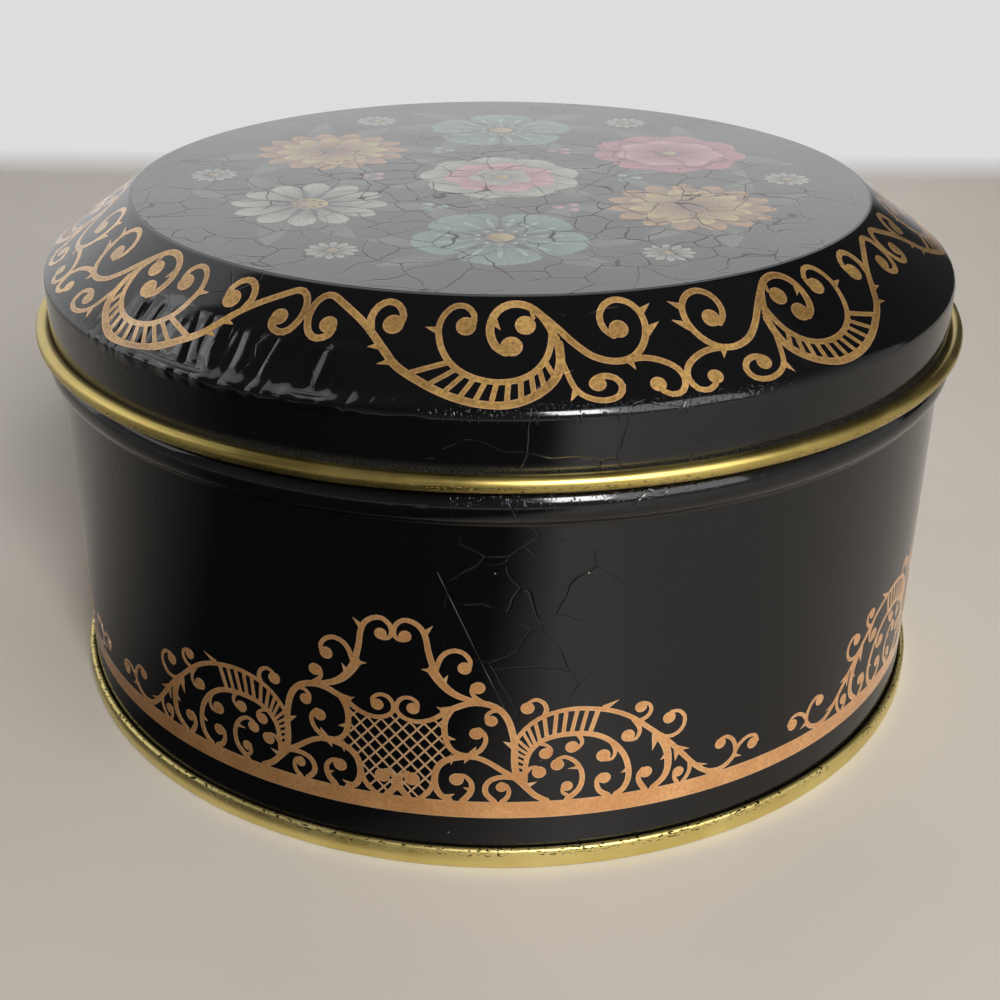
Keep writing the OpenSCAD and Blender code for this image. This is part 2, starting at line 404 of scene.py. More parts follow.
body_wall = made_by(
    turned_sheet,
    "body_wall_shell",
    sheet_section("body_wall_section", wall_path),
    Columns=columns,
    Outside=black_lacquer("black_stoving_lacquer_wall", wall_cracks, rib_scuffs, scratch),
    Inside=gold_lacquer("gold_lacquered_tinplate_wall", *GOLD, 0.24, *rib_chips, 0.3),
)
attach(body_wall, "tin")
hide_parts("body_wall")

# Scrollwork and stripe on the wall: bronze printing ink, rolled on from a plate before the sheet was
# bent and varnished with it. Half of one motif is drawn flat; it is mirrored and goes round four times.
INK_LOW = -0.03 * MM
INK_HIGH = 0.035 * MM
REPEATS = 4
WALL_AXES = (-18.3, 56.2)
wall_ink_turn = WALL_AXES[0] * MM / wall_r
stripe_low = 10.7
stripe_high = 14.4
stripe_rim = 0.5
# Each stroke: its width at both ends, then the points that its middle runs through, in mm.
# Across, 0 is the front of the tin; up, 0 is the floor.
wall_strokes = [
    # Crown scroll, which touches its mirror image, and its stem down to the knot
    (0.75, 1.2, [(-16.3, 48.3), (-17.5, 48.5), (-18.1, 49.6), (-17.8, 51.2), (-16.4, 52.4), (-14.7, 52.2),
                 (-13.2, 51.0), (-12.4, 49.0), (-12.1, 46.8), (-11.6, 44.6), (-11.1, 42.8)]),
    # Scroll to the right of the knot
    (1.0, 0.8, [(-10.8, 42.6), (-10.2, 44.6), (-9.2, 46.2), (-7.4, 47.0), (-5.7, 46.4), (-4.7, 44.9),
                (-4.9, 43.5)]),
    # Stem from the knot down to the main S, and the small scroll on it
    (1.9, 0.9, [(-11.4, 42.6), (-10.2, 40.6), (-8.6, 38.7), (-6.6, 37.4), (-3.8, 36.5)]),
    (0.6, 1.0, [(-4.3, 39.9), (-4.5, 38.7), (-3.9, 37.4), (-2.4, 36.2)]),
    # Main S, from its spike over the top and down the leaf's back
    (1.2, 1.3, [(-9.6, 34.4), (-8.0, 34.7), (-6.2, 35.6), (-4.0, 36.2), (-1.4, 35.9), (0.6, 34.7),
                (2.0, 32.6), (2.8, 29.8), (3.2, 27.0), (3.2, 24.0), (3.5, 21.2), (4.6, 18.9)]),
    # Column between the netting and the S, with the scroll at its foot
    (1.2, 0.8, [(-8.2, 34.4), (-9.1, 32.6), (-9.4, 30.6), (-9.1, 27.8), (-8.2, 25.9), (-6.6, 24.9),
                (-4.6, 24.9), (-2.9, 26.0), (-2.0, 27.9), (-2.2, 29.5), (-3.2, 30.6)]),
    # Scroll that hangs under the S
    (0.9, 0.6, [(0.9, 34.6), (-0.7, 34.6), (-1.8, 33.6), (-1.9, 32.6)]),
    # Lower S and lower C, from the column's foot to the stripe
    (1.0, 1.2, [(-6.0, 24.4), (-3.6, 24.3), (-1.4, 23.3), (1.0, 21.5), (3.4, 19.8), (5.4, 17.6),
                (7.2, 15.7), (9.2, 14.5)]),
    (1.3, 1.2, [(-5.4, 24.5), (-7.6, 24.1), (-9.5, 23.2), (-10.8, 21.6), (-11.3, 19.4), (-11.1, 17.2),
                (-10.2, 15.5), (-8.6, 14.5)]),
    # Scroll inside the lower C, and the volute under the lower S with its inner scroll
    (0.7, 1.3, [(-7.0, 20.3), (-5.8, 20.1), (-4.7, 18.9), (-4.5, 17.4), (-5.0, 16.0), (-6.2, 14.5)]),
    (1.0, 1.1, [(3.6, 19.8), (1.2, 20.1), (-0.9, 19.5), (-2.0, 18.0), (-1.9, 16.2), (-0.4, 14.5)]),
    (0.6, 1.0, [(0.7, 18.7), (1.8, 18.2), (2.3, 16.8), (1.9, 15.4), (1.0, 14.5)]),
    # Small C over the netting, the scroll at its foot and the lower end of its frame
    (0.7, 1.0, [(-14.2, 34.3), (-14.2, 35.5), (-15.4, 36.4), (-16.9, 36.2), (-17.9, 34.9), (-17.9, 33.2),
                (-16.6, 31.9), (-14.4, 31.4), (-12.0, 32.0), (-9.8, 33.4), (-8.6, 34.4)]),
    (1.2, 0.8, [(-16.3, 14.5), (-17.4, 15.8), (-17.9, 17.4), (-17.5, 19.0), (-16.2, 19.9)]),
    (1.0, 1.0, [(-11.4, 19.4), (-11.8, 17.4), (-12.7, 15.7), (-14.0, 14.5)]),
    # Leaf: its outer edge, which runs on as a long stem, and its inner edge
    (0.8, 1.1, [(3.4, 28.2), (5.0, 30.6), (7.2, 32.6), (10.0, 33.9), (13.6, 34.5), (17.0, 34.2),
                (20.4, 33.4), (23.4, 32.0), (26.0, 30.1), (28.4, 27.9), (30.8, 25.7), (33.0, 23.4),
                (35.2, 20.8), (37.4, 18.2), (39.8, 15.9), (42.4, 14.6)]),
    (0.9, 1.2, [(5.2, 19.0), (5.2, 22.2), (5.7, 25.0), (7.2, 27.2), (9.6, 28.6), (12.6, 29.1),
                (16.0, 28.9), (19.0, 27.9), (21.6, 25.8), (23.5, 23.0), (24.4, 20.0), (24.4, 17.4),
                (23.5, 15.4), (22.2, 14.5)]),
    # Scrolls in and on the leaf
    (0.6, 1.0, [(5.6, 36.3), (6.8, 36.9), (8.2, 36.2), (8.8, 34.7), (8.4, 33.2)]),
    (0.7, 0.6, [(7.4, 27.4), (8.8, 27.0), (9.8, 26.0), (9.8, 25.0)]),
    (0.6, 0.9, [(7.2, 22.2), (6.1, 22.0), (5.2, 20.8)]),
    (0.6, 0.9, [(14.6, 25.7), (15.4, 26.8), (15.2, 28.0), (14.4, 29.1)]),
    (0.7, 1.2, [(11.0, 23.7), (12.4, 24.1), (14.2, 23.0), (15.4, 21.0), (15.7, 18.8), (15.1, 16.6),
                (13.0, 14.5)]),
    (0.6, 0.8, [(12.0, 17.0), (12.2, 16.0), (13.4, 15.2)]),
    (0.6, 0.9, [(20.0, 22.5), (21.2, 22.7), (21.7, 24.0), (21.4, 25.4), (20.6, 26.8)]),
    (0.7, 1.2, [(19.4, 19.4), (18.6, 18.6), (18.5, 17.0), (19.2, 15.5), (20.6, 14.5)]),
    # Scrolls on the long stem
    (0.6, 1.0, [(24.4, 26.2), (25.6, 26.4), (26.2, 27.8), (25.9, 29.2), (25.0, 30.6)]),
    (0.6, 0.9, [(26.6, 34.1), (27.8, 33.5), (28.2, 32.2), (27.5, 30.9), (26.0, 30.2)]),
    (0.7, 0.9, [(32.2, 30.9), (33.8, 30.8), (35.0, 29.4), (35.0, 27.4), (33.8, 25.9), (32.0, 25.5),
                (30.4, 26.0)]),
    (1.7, 1.2, [(30.4, 25.8), (31.6, 23.4), (32.2, 20.8), (32.2, 18.2), (31.4, 16.2), (29.4, 14.5)]),
    (0.7, 1.2, [(27.2, 19.3), (26.5, 18.2), (26.6, 16.6), (27.8, 14.5)]),
    (0.6, 0.9, [(33.6, 16.6), (33.8, 15.6), (34.4, 14.5)]),
    (0.9, 0.8, [(36.8, 18.8), (36.9, 17.0), (36.4, 15.4), (35.6, 14.5)]),
    # Sprig at the stem's end
    (1.2, 0.7, [(40.8, 15.2), (43.0, 14.8), (45.2, 15.5), (46.7, 17.0), (46.9, 18.8), (46.1, 20.8),
                (44.6, 22.0), (43.2, 21.7)]),
    (0.9, 0.7, [(46.8, 17.6), (47.8, 19.2), (49.6, 20.3), (51.4, 20.0), (52.2, 18.6)]),
]
# Balls at the ends of the scrolls: middle and radius
wall_balls = [
    (-16.1, 49.2, 1.15), (-5.7, 43.4, 1.25), (-3.3, 39.4, 1.25), (-1.0, 32.4, 1.15), (-3.7, 29.6, 1.25),
    (-7.3, 19.3, 1.35), (0.9, 17.8, 1.05), (-15.0, 34.2, 1.2), (-15.5, 18.6, 1.45), (5.4, 35.1, 1.25),
    (8.8, 25.1, 1.2), (7.7, 21.0, 1.3), (13.6, 26.2, 1.25), (11.0, 22.5, 1.25), (12.9, 17.5, 1.1),
    (19.5, 23.6, 1.35), (19.9, 18.5, 1.2), (24.0, 27.3, 1.3), (26.2, 33.2, 1.15), (31.9, 29.7, 1.25),
    (27.9, 18.4, 1.25), (34.5, 16.9, 1.15), (43.3, 20.8, 1.2), (51.0, 18.3, 1.25),
]
# Thorns on the stems: middle of the foot, tip and width of the foot
wall_thorns = [
    ((-12.5, 50.2), (-11.1, 51.8), 1.1), ((-10.9, 42.4), (-13.4, 42.7), 1.6),
    ((-9.6, 39.9), (-8.6, 41.9), 1.3), ((-8.6, 33.8), (-10.8, 35.0), 1.5),
    ((-9.0, 28.4), (-7.3, 28.1), 1.2), ((-4.4, 25.2), (-3.7, 26.8), 1.4),
    ((-8.0, 24.2), (-8.3, 22.4), 1.0), ((-5.2, 24.4), (-5.9, 22.9), 1.2),
    ((-9.2, 15.2), (-7.6, 16.0), 1.2), ((-4.8, 17.0), (-6.1, 17.6), 1.0),
    ((3.2, 26.8), (1.1, 28.0), 1.6), ((19.2, 34.0), (22.0, 35.5), 1.3),
    ((5.4, 18.0), (7.4, 18.9), 1.3), ((15.2, 21.6), (12.9, 21.4), 1.0),
    ((24.3, 19.8), (22.9, 19.1), 1.1), ((29.6, 26.6), (28.9, 23.0), 2.0),
    ((32.0, 21.6), (30.6, 20.4), 1.3), ((34.0, 22.0), (33.7, 19.5), 1.5),
    ((33.6, 22.4), (36.6, 21.7), 1.5), ((37.8, 17.5), (40.8, 16.9), 1.2),
    ((46.5, 17.0), (48.6, 16.2), 1.2),
]
# Bars of the leaf's comb: both ends and width
wall_bars = [
    ((16.8, 28.9), (18.2, 33.9), 0.9), ((15.1, 29.0), (16.2, 34.2), 0.75),
    ((13.4, 29.1), (14.4, 34.4), 0.75), ((11.9, 29.0), (12.4, 34.3), 0.75),
    ((10.3, 28.8), (10.6, 34.0), 0.75), ((9.0, 28.4), (8.4, 33.3), 0.75),
    ((7.8, 27.7), (6.8, 32.2), 0.7), ((7.0, 27.0), (5.5, 31.1), 0.65),
    ((6.4, 26.4), (4.6, 30.0), 0.6), ((6.0, 25.8), (3.6, 28.4), 0.6),
    ((5.7, 25.0), (3.4, 26.9), 0.55), ((5.5, 24.1), (3.3, 25.5), 0.55),
    ((5.3, 23.1), (3.3, 24.1), 0.55), ((5.2, 22.0), (3.4, 22.6), 0.6),
    ((5.2, 20.6), (3.6, 20.9), 0.9),
]
# Netting of crossed lines: the middle of one mesh, the size of a mesh, how many meshes a line runs
# each way, the lines' numbers, their width, and the outline that the netting fills
net_middle = Vector((-18.3, 23.6))
net_pitch = Vector((2.63, 3.05))
net_reach = 3.5
net_line_numbers = range(-4, 8)
net_line = 0.38
net_edge = [
    (-18.4, 32.3), (-16.0, 31.8), (-14.5, 31.3), (-12.0, 32.0), (-10.0, 33.0), (-9.6, 30.0), (-9.6, 27.0),
    (-8.0, 25.0), (-9.5, 23.6), (-11.0, 22.0), (-11.6, 19.5), (-11.9, 17.5), (-13.0, 15.0), (-13.4, 14.0),
    (-18.4, 14.0),
]


def smooth(points, step):
    """Curve through the points, as points about a step apart."""
    path = [Vector(p) for p in points]
    path = [2 * path[0] - path[1], *path, 2 * path[-1] - path[-2]]
    curve = []
    for a, b, c, d in zip(path, path[1:], path[2:], path[3:]):
        count = max(2, round((c - b).length / step))
        for t in [i / count for i in range(count)]:
            square = (2 * a - 5 * b + 4 * c - d) * t * t
            cube = (3 * b - a - 3 * c + d) * t * t * t
            curve.append((2 * b + (c - a) * t + square + cube) / 2)
    return [*curve, path[-2]]


def across(a, b, width):
    """Step of half a width to the left of the line from a to b."""
    along = (Vector(b) - Vector(a)).normalized()
    return Vector((-along.y, along.x)) * width / 2


def quads_between(rows):
    """Quads between rows of left, middle and right points."""
    quads = []
    for (left, middle, right), (next_left, next_middle, next_right) in zip(rows, rows[1:]):
        quads.append([middle, next_middle, next_left, left])
        quads.append([right, next_right, next_middle, middle])
    return quads


def ribbon(start_w, end_w, points):
    """Quads of a stroke along the points, with its middle line between them."""
    curve = smooth(points, 1.0)
    last = len(curve) - 1
    rows = []
    for i, point in enumerate(curve):
        width = start_w + (end_w - start_w) * i / last
        side = across(curve[max(i - 1, 0)], curve[min(i + 1, last)], width)
        rows.append((point + side, point, point - side))
    return quads_between(rows)


def bar(a, b, width):
    """Outline of a straight line of a width."""
    side = across(a, b, width)
    return [Vector(a) - side, Vector(b) - side, Vector(b) + side, Vector(a) + side]


def disc(x, y, radius, corners=16):
    """Outline of a dot."""
    angles = [math.tau * i / corners for i in range(corners)]
    return [Vector((x + radius * math.cos(a), y + radius * math.sin(a))) for a in angles]


def scrollwork(strokes, balls, thorns, bars):
    """Outlines of all the shapes of a motif."""
    shapes = []
    for x, y, radius in balls:
        shapes += [disc(x, y, radius), disc(x, y, 0.6 * radius, 8)]
    for start_w, end_w, points in strokes:
        shapes += ribbon(start_w, end_w, points)
        shapes.append(disc(*points[0], start_w / 2, 8))
        shapes.append(disc(*points[-1], end_w / 2, 8))
    for start, end, width in bars:
        shapes += ribbon(width, width, [start, end])
    for foot, tip, width in thorns:
        side = across(foot, tip, width)
        shapes.append([Vector(foot) - side, Vector(tip), Vector(foot) + side])
    return shapes


def facing_up(outline):
    """The outline, turned so that it runs anticlockwise."""
    area = sum(a.x * b.y - a.y * b.x for a, b in zip(outline, outline[1:] + outline[:1]))
    return outline if area > 0 else outline[::-1]


def laid_out(outlines):
    """Flat faces that the outlines cut the plane into, each with the outlines that hold it."""
    corners = []
    loops = []
    for outline in outlines:
        loops.append(range(len(corners), len(corners) + len(outline)))
        corners += facing_up([Vector(p) for p in outline])
    points, _, faces, _, _, owners = delaunay_2d_cdt(corners, [], [list(x) for x in loops], 0, 1e-5)
    return points, zip(faces, owners)


def film(name, points, faces, low, high, seams=()):
    """Closed film over flat faces in mm, between two heights; it stays open along lines x = seam.

    "rim" is 1 round the film's outline and 0 inside it.
    """
    used = sorted({i for face in faces for i in face})
    number = {old: new for new, old in enumerate(used)}
    top = [tuple(number[i] for i in face) for face in faces]
    count = len(used)
    sides = {(a, b) for face in top for a, b in zip(face, face[1:] + face[:1])}
    flat = [points[i] for i in used]

    def on_seam(i):
        return any(abs(flat[i].x - seam) < 1e-3 for seam in seams)

    edge = [(a, b) for a, b in sides if (b, a) not in sides and not (on_seam(a) and on_seam(b))]
    edge.sort()
    verts = [(p.x * MM, p.y * MM, z) for z in (high, low) for p in flat]
    under = [tuple(i + count for i in reversed(face)) for face in top]
    walls = [(a + count, b + count, b, a) for a, b in edge]
    mesh = bpy.data.meshes.new(name)
    mesh.from_pydata(verts, [], top + under + walls)
    rim = {i for pair in edge for i in pair}
    values = [1.0 if i % count in rim else 0.0 for i in range(2 * count)]
    mesh.attributes.new("rim", "FLOAT", "POINT").data.foreach_set("value", values)
    return mesh


def printed_half(name, shapes, axes, netting=(), edge=()):
    """Film of half a motif, from one mirror axis at x = 0 to the other; netting fills only its edge."""
    # The sheet that it is printed on ends at the axes, and well below and above the motif
    below = -10
    above = 120
    sheet = [(axes[0], below), (axes[1], below), (axes[1], above), (axes[0], above)]
    outlines = [*shapes, sheet, *netting, *([edge] if edge else [])]
    sheet_number = len(shapes)
    net_numbers = set(range(sheet_number + 1, sheet_number + 1 + len(netting)))
    edge_number = sheet_number + 1 + len(netting)
    points, pieces = laid_out(outlines)
    kept = []
    for face, owners in pieces:
        inked = any(i < sheet_number for i in owners)
        netted = edge_number in owners and net_numbers.intersection(owners)
        if sheet_number in owners and (inked or netted):
            kept.append(face)
    moved = [p - Vector((axes[0], 0)) for p in points]
    return film(name, moved, kept, INK_LOW, INK_HIGH, seams=(0, axes[1] - axes[0]))


def print_round_tree():
    """Half a flat motif, mirrored, repeated and bent round a wall or a cone."""
    tree, given = new_tree(
        "print_round",
        {
            "Half width": "Float",
            "Repeats": "Int",
            "Turn": "Float",
            "Crowding": "Float",
            "Start radius": "Float",
            "Start height": "Float",
            "Slope": "Float",
            "Ink": "Material",
        },
    )
    half = given["Geometry"]
    mirrored = add(tree, "GeometryNodeTransform", {"Geometry": half, "Scale": (-1, 1, 1)})
    faced = add(tree, "GeometryNodeFlipFaces", {0: mirrored})
    motif = add(tree, "GeometryNodeJoinGeometry", {0: half})
    feed(tree, motif, {0: faced})
    pitch = add(tree, "ShaderNodeMath", {0: given["Half width"], 1: 2.0}, operation="MULTIPLY")
    step = add(tree, "ShaderNodeCombineXYZ", {"X": pitch})
    line = add(tree, "GeometryNodeMeshLine", {"Count": given["Repeats"], "Offset": step})
    copies = add(tree, "GeometryNodeInstanceOnPoints", {"Points": line, "Instance": motif})
    real = add(tree, "GeometryNodeRealizeInstances", {0: copies})
    here = add(tree, "GeometryNodeInputPosition")
    flat = add(tree, "ShaderNodeSeparateXYZ", {0: here}).outputs
    part = add(tree, "ShaderNodeMath", {0: flat["X"], 1: given["Half width"]}, operation="DIVIDE")
    sweep = add(tree, "ShaderNodeMath", {0: math.pi, 1: given["Repeats"]}, operation="DIVIDE")
    even = add(tree, "ShaderNodeMath", {0: part, 1: sweep, 2: given["Turn"]}, operation="MULTIPLY_ADD")
    # A print that lies off the middle crowds together on one side and spreads out on the other
    lean_round = add(tree, "ShaderNodeMath", {0: even}, operation="SINE")
    pulled = add(tree, "ShaderNodeMath", {0: lean_round, 1: given["Crowding"]}, operation="MULTIPLY")
    angle = add(tree, "ShaderNodeMath", {0: even, 1: pulled}, operation="SUBTRACT")
    # Up the slope, and out from it
    lean = add(tree, "ShaderNodeMath", {0: given["Slope"]}, operation="COSINE")
    rise = add(tree, "ShaderNodeMath", {0: given["Slope"]}, operation="SINE")
    foot_r = add(
        tree,
        "ShaderNodeMath",
        {0: flat["Y"], 1: lean, 2: given["Start radius"]},
        operation="MULTIPLY_ADD",
    )
    radius = add(tree, "ShaderNodeMath", {0: flat["Z"], 1: rise, 2: foot_r}, operation="MULTIPLY_ADD")
    foot_z = add(
        tree,
        "ShaderNodeMath",
        {0: flat["Y"], 1: rise, 2: given["Start height"]},
        operation="MULTIPLY_ADD",
    )
    down = add(tree, "ShaderNodeMath", {0: flat["Z"], 1: lean}, operation="MULTIPLY")
    height = add(tree, "ShaderNodeMath", {0: foot_z, 1: down}, operation="SUBTRACT")
    front = add(tree, "ShaderNodeMath", {0: radius, 1: -1.0}, operation="MULTIPLY")
    spot = add(tree, "ShaderNodeCombineXYZ", {"Y": front, "Z": height})
    turned = add(tree, "ShaderNodeVectorRotate", {"Vector": spot, "Angle": angle}, rotation_type="Z_AXIS")
    wrapped = add(tree, "GeometryNodeSetPosition", {"Geometry": real, "Position": turned})
    joined = welded(tree, wrapped, 0.002 * MM)
    inked = add(tree, "GeometryNodeSetMaterial", {0: joined, "Material": given["Ink"]})
    add(tree, "NodeGroupOutput", {0: inked})
    return tree


print_round = print_round_tree()


def bronze_ink(name, dark, light, squeezed_out, cracked):
    """Bronze ink between two colours and a rim of a third, under varnish cracked near a place."""
    # Bronze powder in varnish: an opaque copper gold with a grain of flakes, a paler rim where the
    # ink was squeezed out by the plate, and the gloss of the clear varnish over it.
    # The flakes are drawn far coarser than they are, so that they show.
    flake_size = 0.65 * MM
    cloud_size = 9 * MM
    material, tree, shader, place = new_material(name)
    grain = add(tree, "ShaderNodeTexNoise", {"Vector": place, "Scale": 1 / flake_size, "Detail": 3.0})
    clouds = add(tree, "ShaderNodeTexNoise", {"Vector": place, "Scale": 1 / cloud_size, "Detail": 2.0})
    mottle = add(tree, "ShaderNodeMath", {0: grain, 1: clouds}, operation="MULTIPLY")
    strength = add(tree, "ShaderNodeMapRange", {"Value": mottle, "From Min": 0.06, "From Max": 0.46})
    tone = add(tree, "ShaderNodeMix", {0: strength, 6: linear(dark), 7: linear(light)}, data_type="RGBA")
    rim = add(tree, "ShaderNodeAttribute", attribute_name="rim").outputs["Fac"]
    squeezed = add(tree, "ShaderNodeMapRange", {"Value": rim, "From Min": 0.5, "To Max": 0.6})
    colour = add(tree, "ShaderNodeMix", {0: squeezed, 6: tone, 7: linear(squeezed_out)}, data_type="RGBA")
    cracks = crazing(tree, place, CRACK_CELL, *cracked)
    split = add(tree, "ShaderNodeBump", {"Height": cracks, "Distance": 0.04 * MM}, invert=True)
    feed(tree, shader, {"Base Color": colour, "Normal": split, "Metallic": 0.85, "Roughness": 0.54})
    feed(tree, shader, {"Coat Normal": split, "Coat Weight": 1.0, "Coat Roughness": 0.1})
    return material


net_lines = []
for k in net_line_numbers:
    for slant in (1, -1):
        # Along a line the two mesh counts across and up change together, one mesh for one mesh
        line_middle = net_middle + Vector(((k + 0.5) * net_pitch.x, 0))
        reach = net_reach * Vector((net_pitch.x, slant * net_pitch.y))
        net_lines.append(bar(line_middle - reach, line_middle + reach, net_line))
stripe_parts = 38
stripe_rows = (stripe_low, stripe_low + stripe_rim, stripe_high - stripe_rim, stripe_high)
stripe_step = (WALL_AXES[1] - WALL_AXES[0]) / stripe_parts
stripe = []
for i in range(stripe_parts):
    left = WALL_AXES[0] + i * stripe_step
    right = left + stripe_step
    for low, high in zip(stripe_rows, stripe_rows[1:]):
        stripe.append([(left, low), (right, low), (right, high), (left, high)])
wall_print = made_by(
    print_round,
    "wall_scrollwork",
    printed_half(
        "wall_motif",
        scrollwork(wall_strokes, wall_balls, wall_thorns, wall_bars) + stripe,
        WALL_AXES,
        net_lines,
        net_edge,
    ),
    **{
        "Half width": (WALL_AXES[1] - WALL_AXES[0]) * MM,
        "Repeats": REPEATS,
        "Turn": wall_ink_turn,
        "Crowding": 0.0,
        "Start radius": wall_r,
        "Start height": 0.0,
        "Slope": math.pi / 2,
        "Ink": bronze_ink("bronze_printing_ink_wall", "#d09252", "#f6bd80", "#f2cfa6", wall_cracks),
    },
)
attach(wall_print, "tin")
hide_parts("body_wall")

# Side seam at the back: the two edges of the wall's strip are hooked together and pressed flat.
# Outside only a thin lap shows, lacquered black; inside are the gold layers of the fold.
seam_half = 2.5
seam_runs = ((7.8, 69.2), (80.8, 87.9))
# Each layer: its lowest and highest face, out from the wall, its finish and its slot
seam_layers = {
    "side_seam_lap": (-0.1 * MM, 0.07 * MM, body_wall.data.materials[0], "black_lacquer"),
    "side_seam_fold": (-4 * SHEET, -0.6 * SHEET, body_wall.data.materials[1], "gold_lacquer"),
}
for name, (low, high, finish, slot) in seam_layers.items():
    strips = [[(0, a), (seam_half, a), (seam_half, b), (0, b)] for a, b in seam_runs]
    points, pieces = laid_out(strips)
    faces = [face for face, owners in pieces if owners]
    side_seam = made_by(
        print_round,
        name,
        film(name, points, faces, low, high, seams=(0,)),
        **{
            "Half width": math.pi * wall_r,
            "Repeats": 1,
            "Turn": math.pi,
            "Start radius": wall_r,
            "Start height": 0.0,
            "Slope": math.pi / 2,
            "Ink": finish,
        },
    )
    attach(side_seam, "tin")
    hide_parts("body_wall")

# Base end: a stamped round of gold-lacquered tinplate with a raised middle. Its edge is folded
# round the foot of the wall in a double seam, and the tin stands on that seam.
panel_z = 4.8 * MM + HALF_SHEET
panel_rise = 1.2 * MM
panel_margin = 9 * MM
panel_bend_r = 0.8 * MM
seam_top = seam_h - HALF_SHEET
raised_r = wall_r - panel_margin


def bent(corners, radii, steps=5):
    """Path of corners (r, z) with each corner between the ends rounded by its bend radius."""
    path = [corners[0]]
    for a, b, c, radius in zip(corners, corners[1:], corners[2:], radii):
        before = (Vector(b) - Vector(a)).normalized()
        after = (Vector(c) - Vector(b)).normalized()
        swing = math.atan2(before.x * after.y - before.y * after.x, before.dot(after))
        side = math.copysign(1, swing)
        middle = Vector(b) - radius * math.tan(abs(swing) / 2) * before
        middle += radius * side * Vector((-before.y, before.x))
        start = math.degrees(math.atan2(-side * before.x, side * before.y))
        path += arc(middle.x, middle.y, radius, start, start + math.degrees(swing), steps)
    return [*path, corners[-1]]


base_path = bent(
    [
        (0, panel_z + panel_rise),
        (raised_r - panel_rise, panel_z + panel_rise),
        (raised_r, panel_z),
        (wall_mid - seam_pitch, panel_z),
        (wall_mid - seam_pitch, HALF_SHEET),
        (wall_mid + 3 * seam_pitch, HALF_SHEET),
        (wall_mid + 3 * seam_pitch, seam_top),
        (wall_mid + seam_pitch, seam_top),
        (wall_mid + seam_pitch, HALF_SHEET + 2 * seam_pitch),
    ],
    [panel_bend_r] * 3 + [SHEET] * 2 + [0.98 * seam_pitch] * 2,
)
# The lacquer is chipped most along the seam's upper edge
seam_chips = (2.6 * MM, 4.8 * MM)
# Its gold is paler than that of the wall and the lid: the extra brightness is a painted highlight, for the
# light that the seam catches
base_gold_painted_highlight = gold_lacquer("gold_lacquered_tinplate_base", "#c9b25e", "#efe0a0", 0.4, *seam_chips, 0.75)
base_end = made_by(
    turned_sheet,
    "base_end_panel",
    sheet_section("base_end_section", base_path),
    Columns=columns,
    Outside=base_gold_painted_highlight,
    Inside=base_gold_painted_highlight,
)
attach(base_end, "tin")
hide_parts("base_end")

# Lid: drawn from one sheet, with a flat top, a sloping shoulder and a skirt that slips over the wall.
# The skirt's edge is curled outwards, so the sheet's gold inside shows on the curl; knocks have
# crumpled the shoulder a little at the front left.
lid_low, lid_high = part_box("lid_cap")
picture_t = 0.06 * MM
lid_top_z = lid_high.z - picture_t - HALF_SHEET
lid_room = 0.35 * MM
skirt_mid = wall_r + lid_room + HALF_SHEET
shoulder_w = 18.3 * MM
shoulder_h = 13.6 * MM
crease_z = lid_high.z - shoulder_h
top_corner_r = skirt_mid - shoulder_w
lid_curl_r = 1.6 * MM - HALF_SHEET
lid_curl_z = lid_low.z + lid_curl_r + HALF_SHEET
shoulder = Vector((top_corner_r - skirt_mid, lid_top_z - crease_z))
slope = math.atan2(shoulder.y, shoulder.x)
shoulder_rows = 24
lid_columns = 480
shoulder_bend_r = 2.6 * MM
top_bend_r = 1.2 * MM
bend_steps = 6
top_rings = 12
# Crumpled stretch: its middle and reach round the lid, its height on the shoulder and its depth
dent_middle = math.radians(-30)
dent_reach = math.radians(23)
dent_deepest = 1.8 * MM
dent_top = 8 * MM
dent_depth = 1.9 * MM
dent_place = Vector((skirt_mid * math.sin(dent_middle), -skirt_mid * math.cos(dent_middle), crease_z))
facet_w = 8 * MM
facet_h = 5 * MM
# Crinkles in the lacquer there: fine folds that run up over the crease, and the heights they reach
crinkle_gap = 6 * MM
crinkle_stretch = 6
crinkle_reach = 44 * MM
crinkle_depth = 2.4 * MM
crinkle_heights = (crease_z - 2 * MM, crease_z + 7.5 * MM)
# Place on the lid where the lacquer is cracked most, and how far the cracks reach from it
lid_cracks = (Vector((20, -95, 87)) * MM, 38 * MM)
# Heights between which the crease is scuffed and the curl is chipped
crease_scuffs = (crease_z - 2 * MM, crease_z + 1.5 * MM)
curl_chips = (lid_low.z, lid_low.z + 1.9 * MM)


def facets(across, up):
    """Height from 0 to 1 of a surface of small flat facets, over a flat place."""
    a = across / facet_w + up / facet_h / 2
    b = up / facet_h
    column, row = math.floor(a), math.floor(b)
    a, b = a - column, b - row
    corner = (0, 0) if a + b < 1 else (1, 1)
    share = (1 - a - b, a, b) if a + b < 1 else (a + b - 1, 1 - b, 1 - a)
    spots = (corner, (1, 0), (0, 1))
    heights = [abs(noise.cell(Vector((column + i, row + j, 7.5)))) for i, j in spots]
    return sum(height * part for height, part in zip(heights, share))


def dent(place):
    """How far the crumpled shoulder lies under its true cone at a place."""
    turn = math.atan2(place.x, -place.y)
    aside = abs(turn - dent_middle) / dent_reach
    rise = place.z - crease_z
    fade = min(rise / dent_deepest, (dent_top - rise) / (dent_top - dent_deepest))
    knock = 0.3 + 0.7 * facets(turn * skirt_mid, rise)
    return dent_depth * (1 - aside**4) * fade * knock if aside < 1 and fade > 0 else 0.0


def out_from_shoulder(place):
    """Direction straight out of the shoulder at a place."""
    out = Vector((place.x, place.y, 0)).normalized() * math.sin(slope)
    return out - Vector((0, 0, math.cos(slope)))


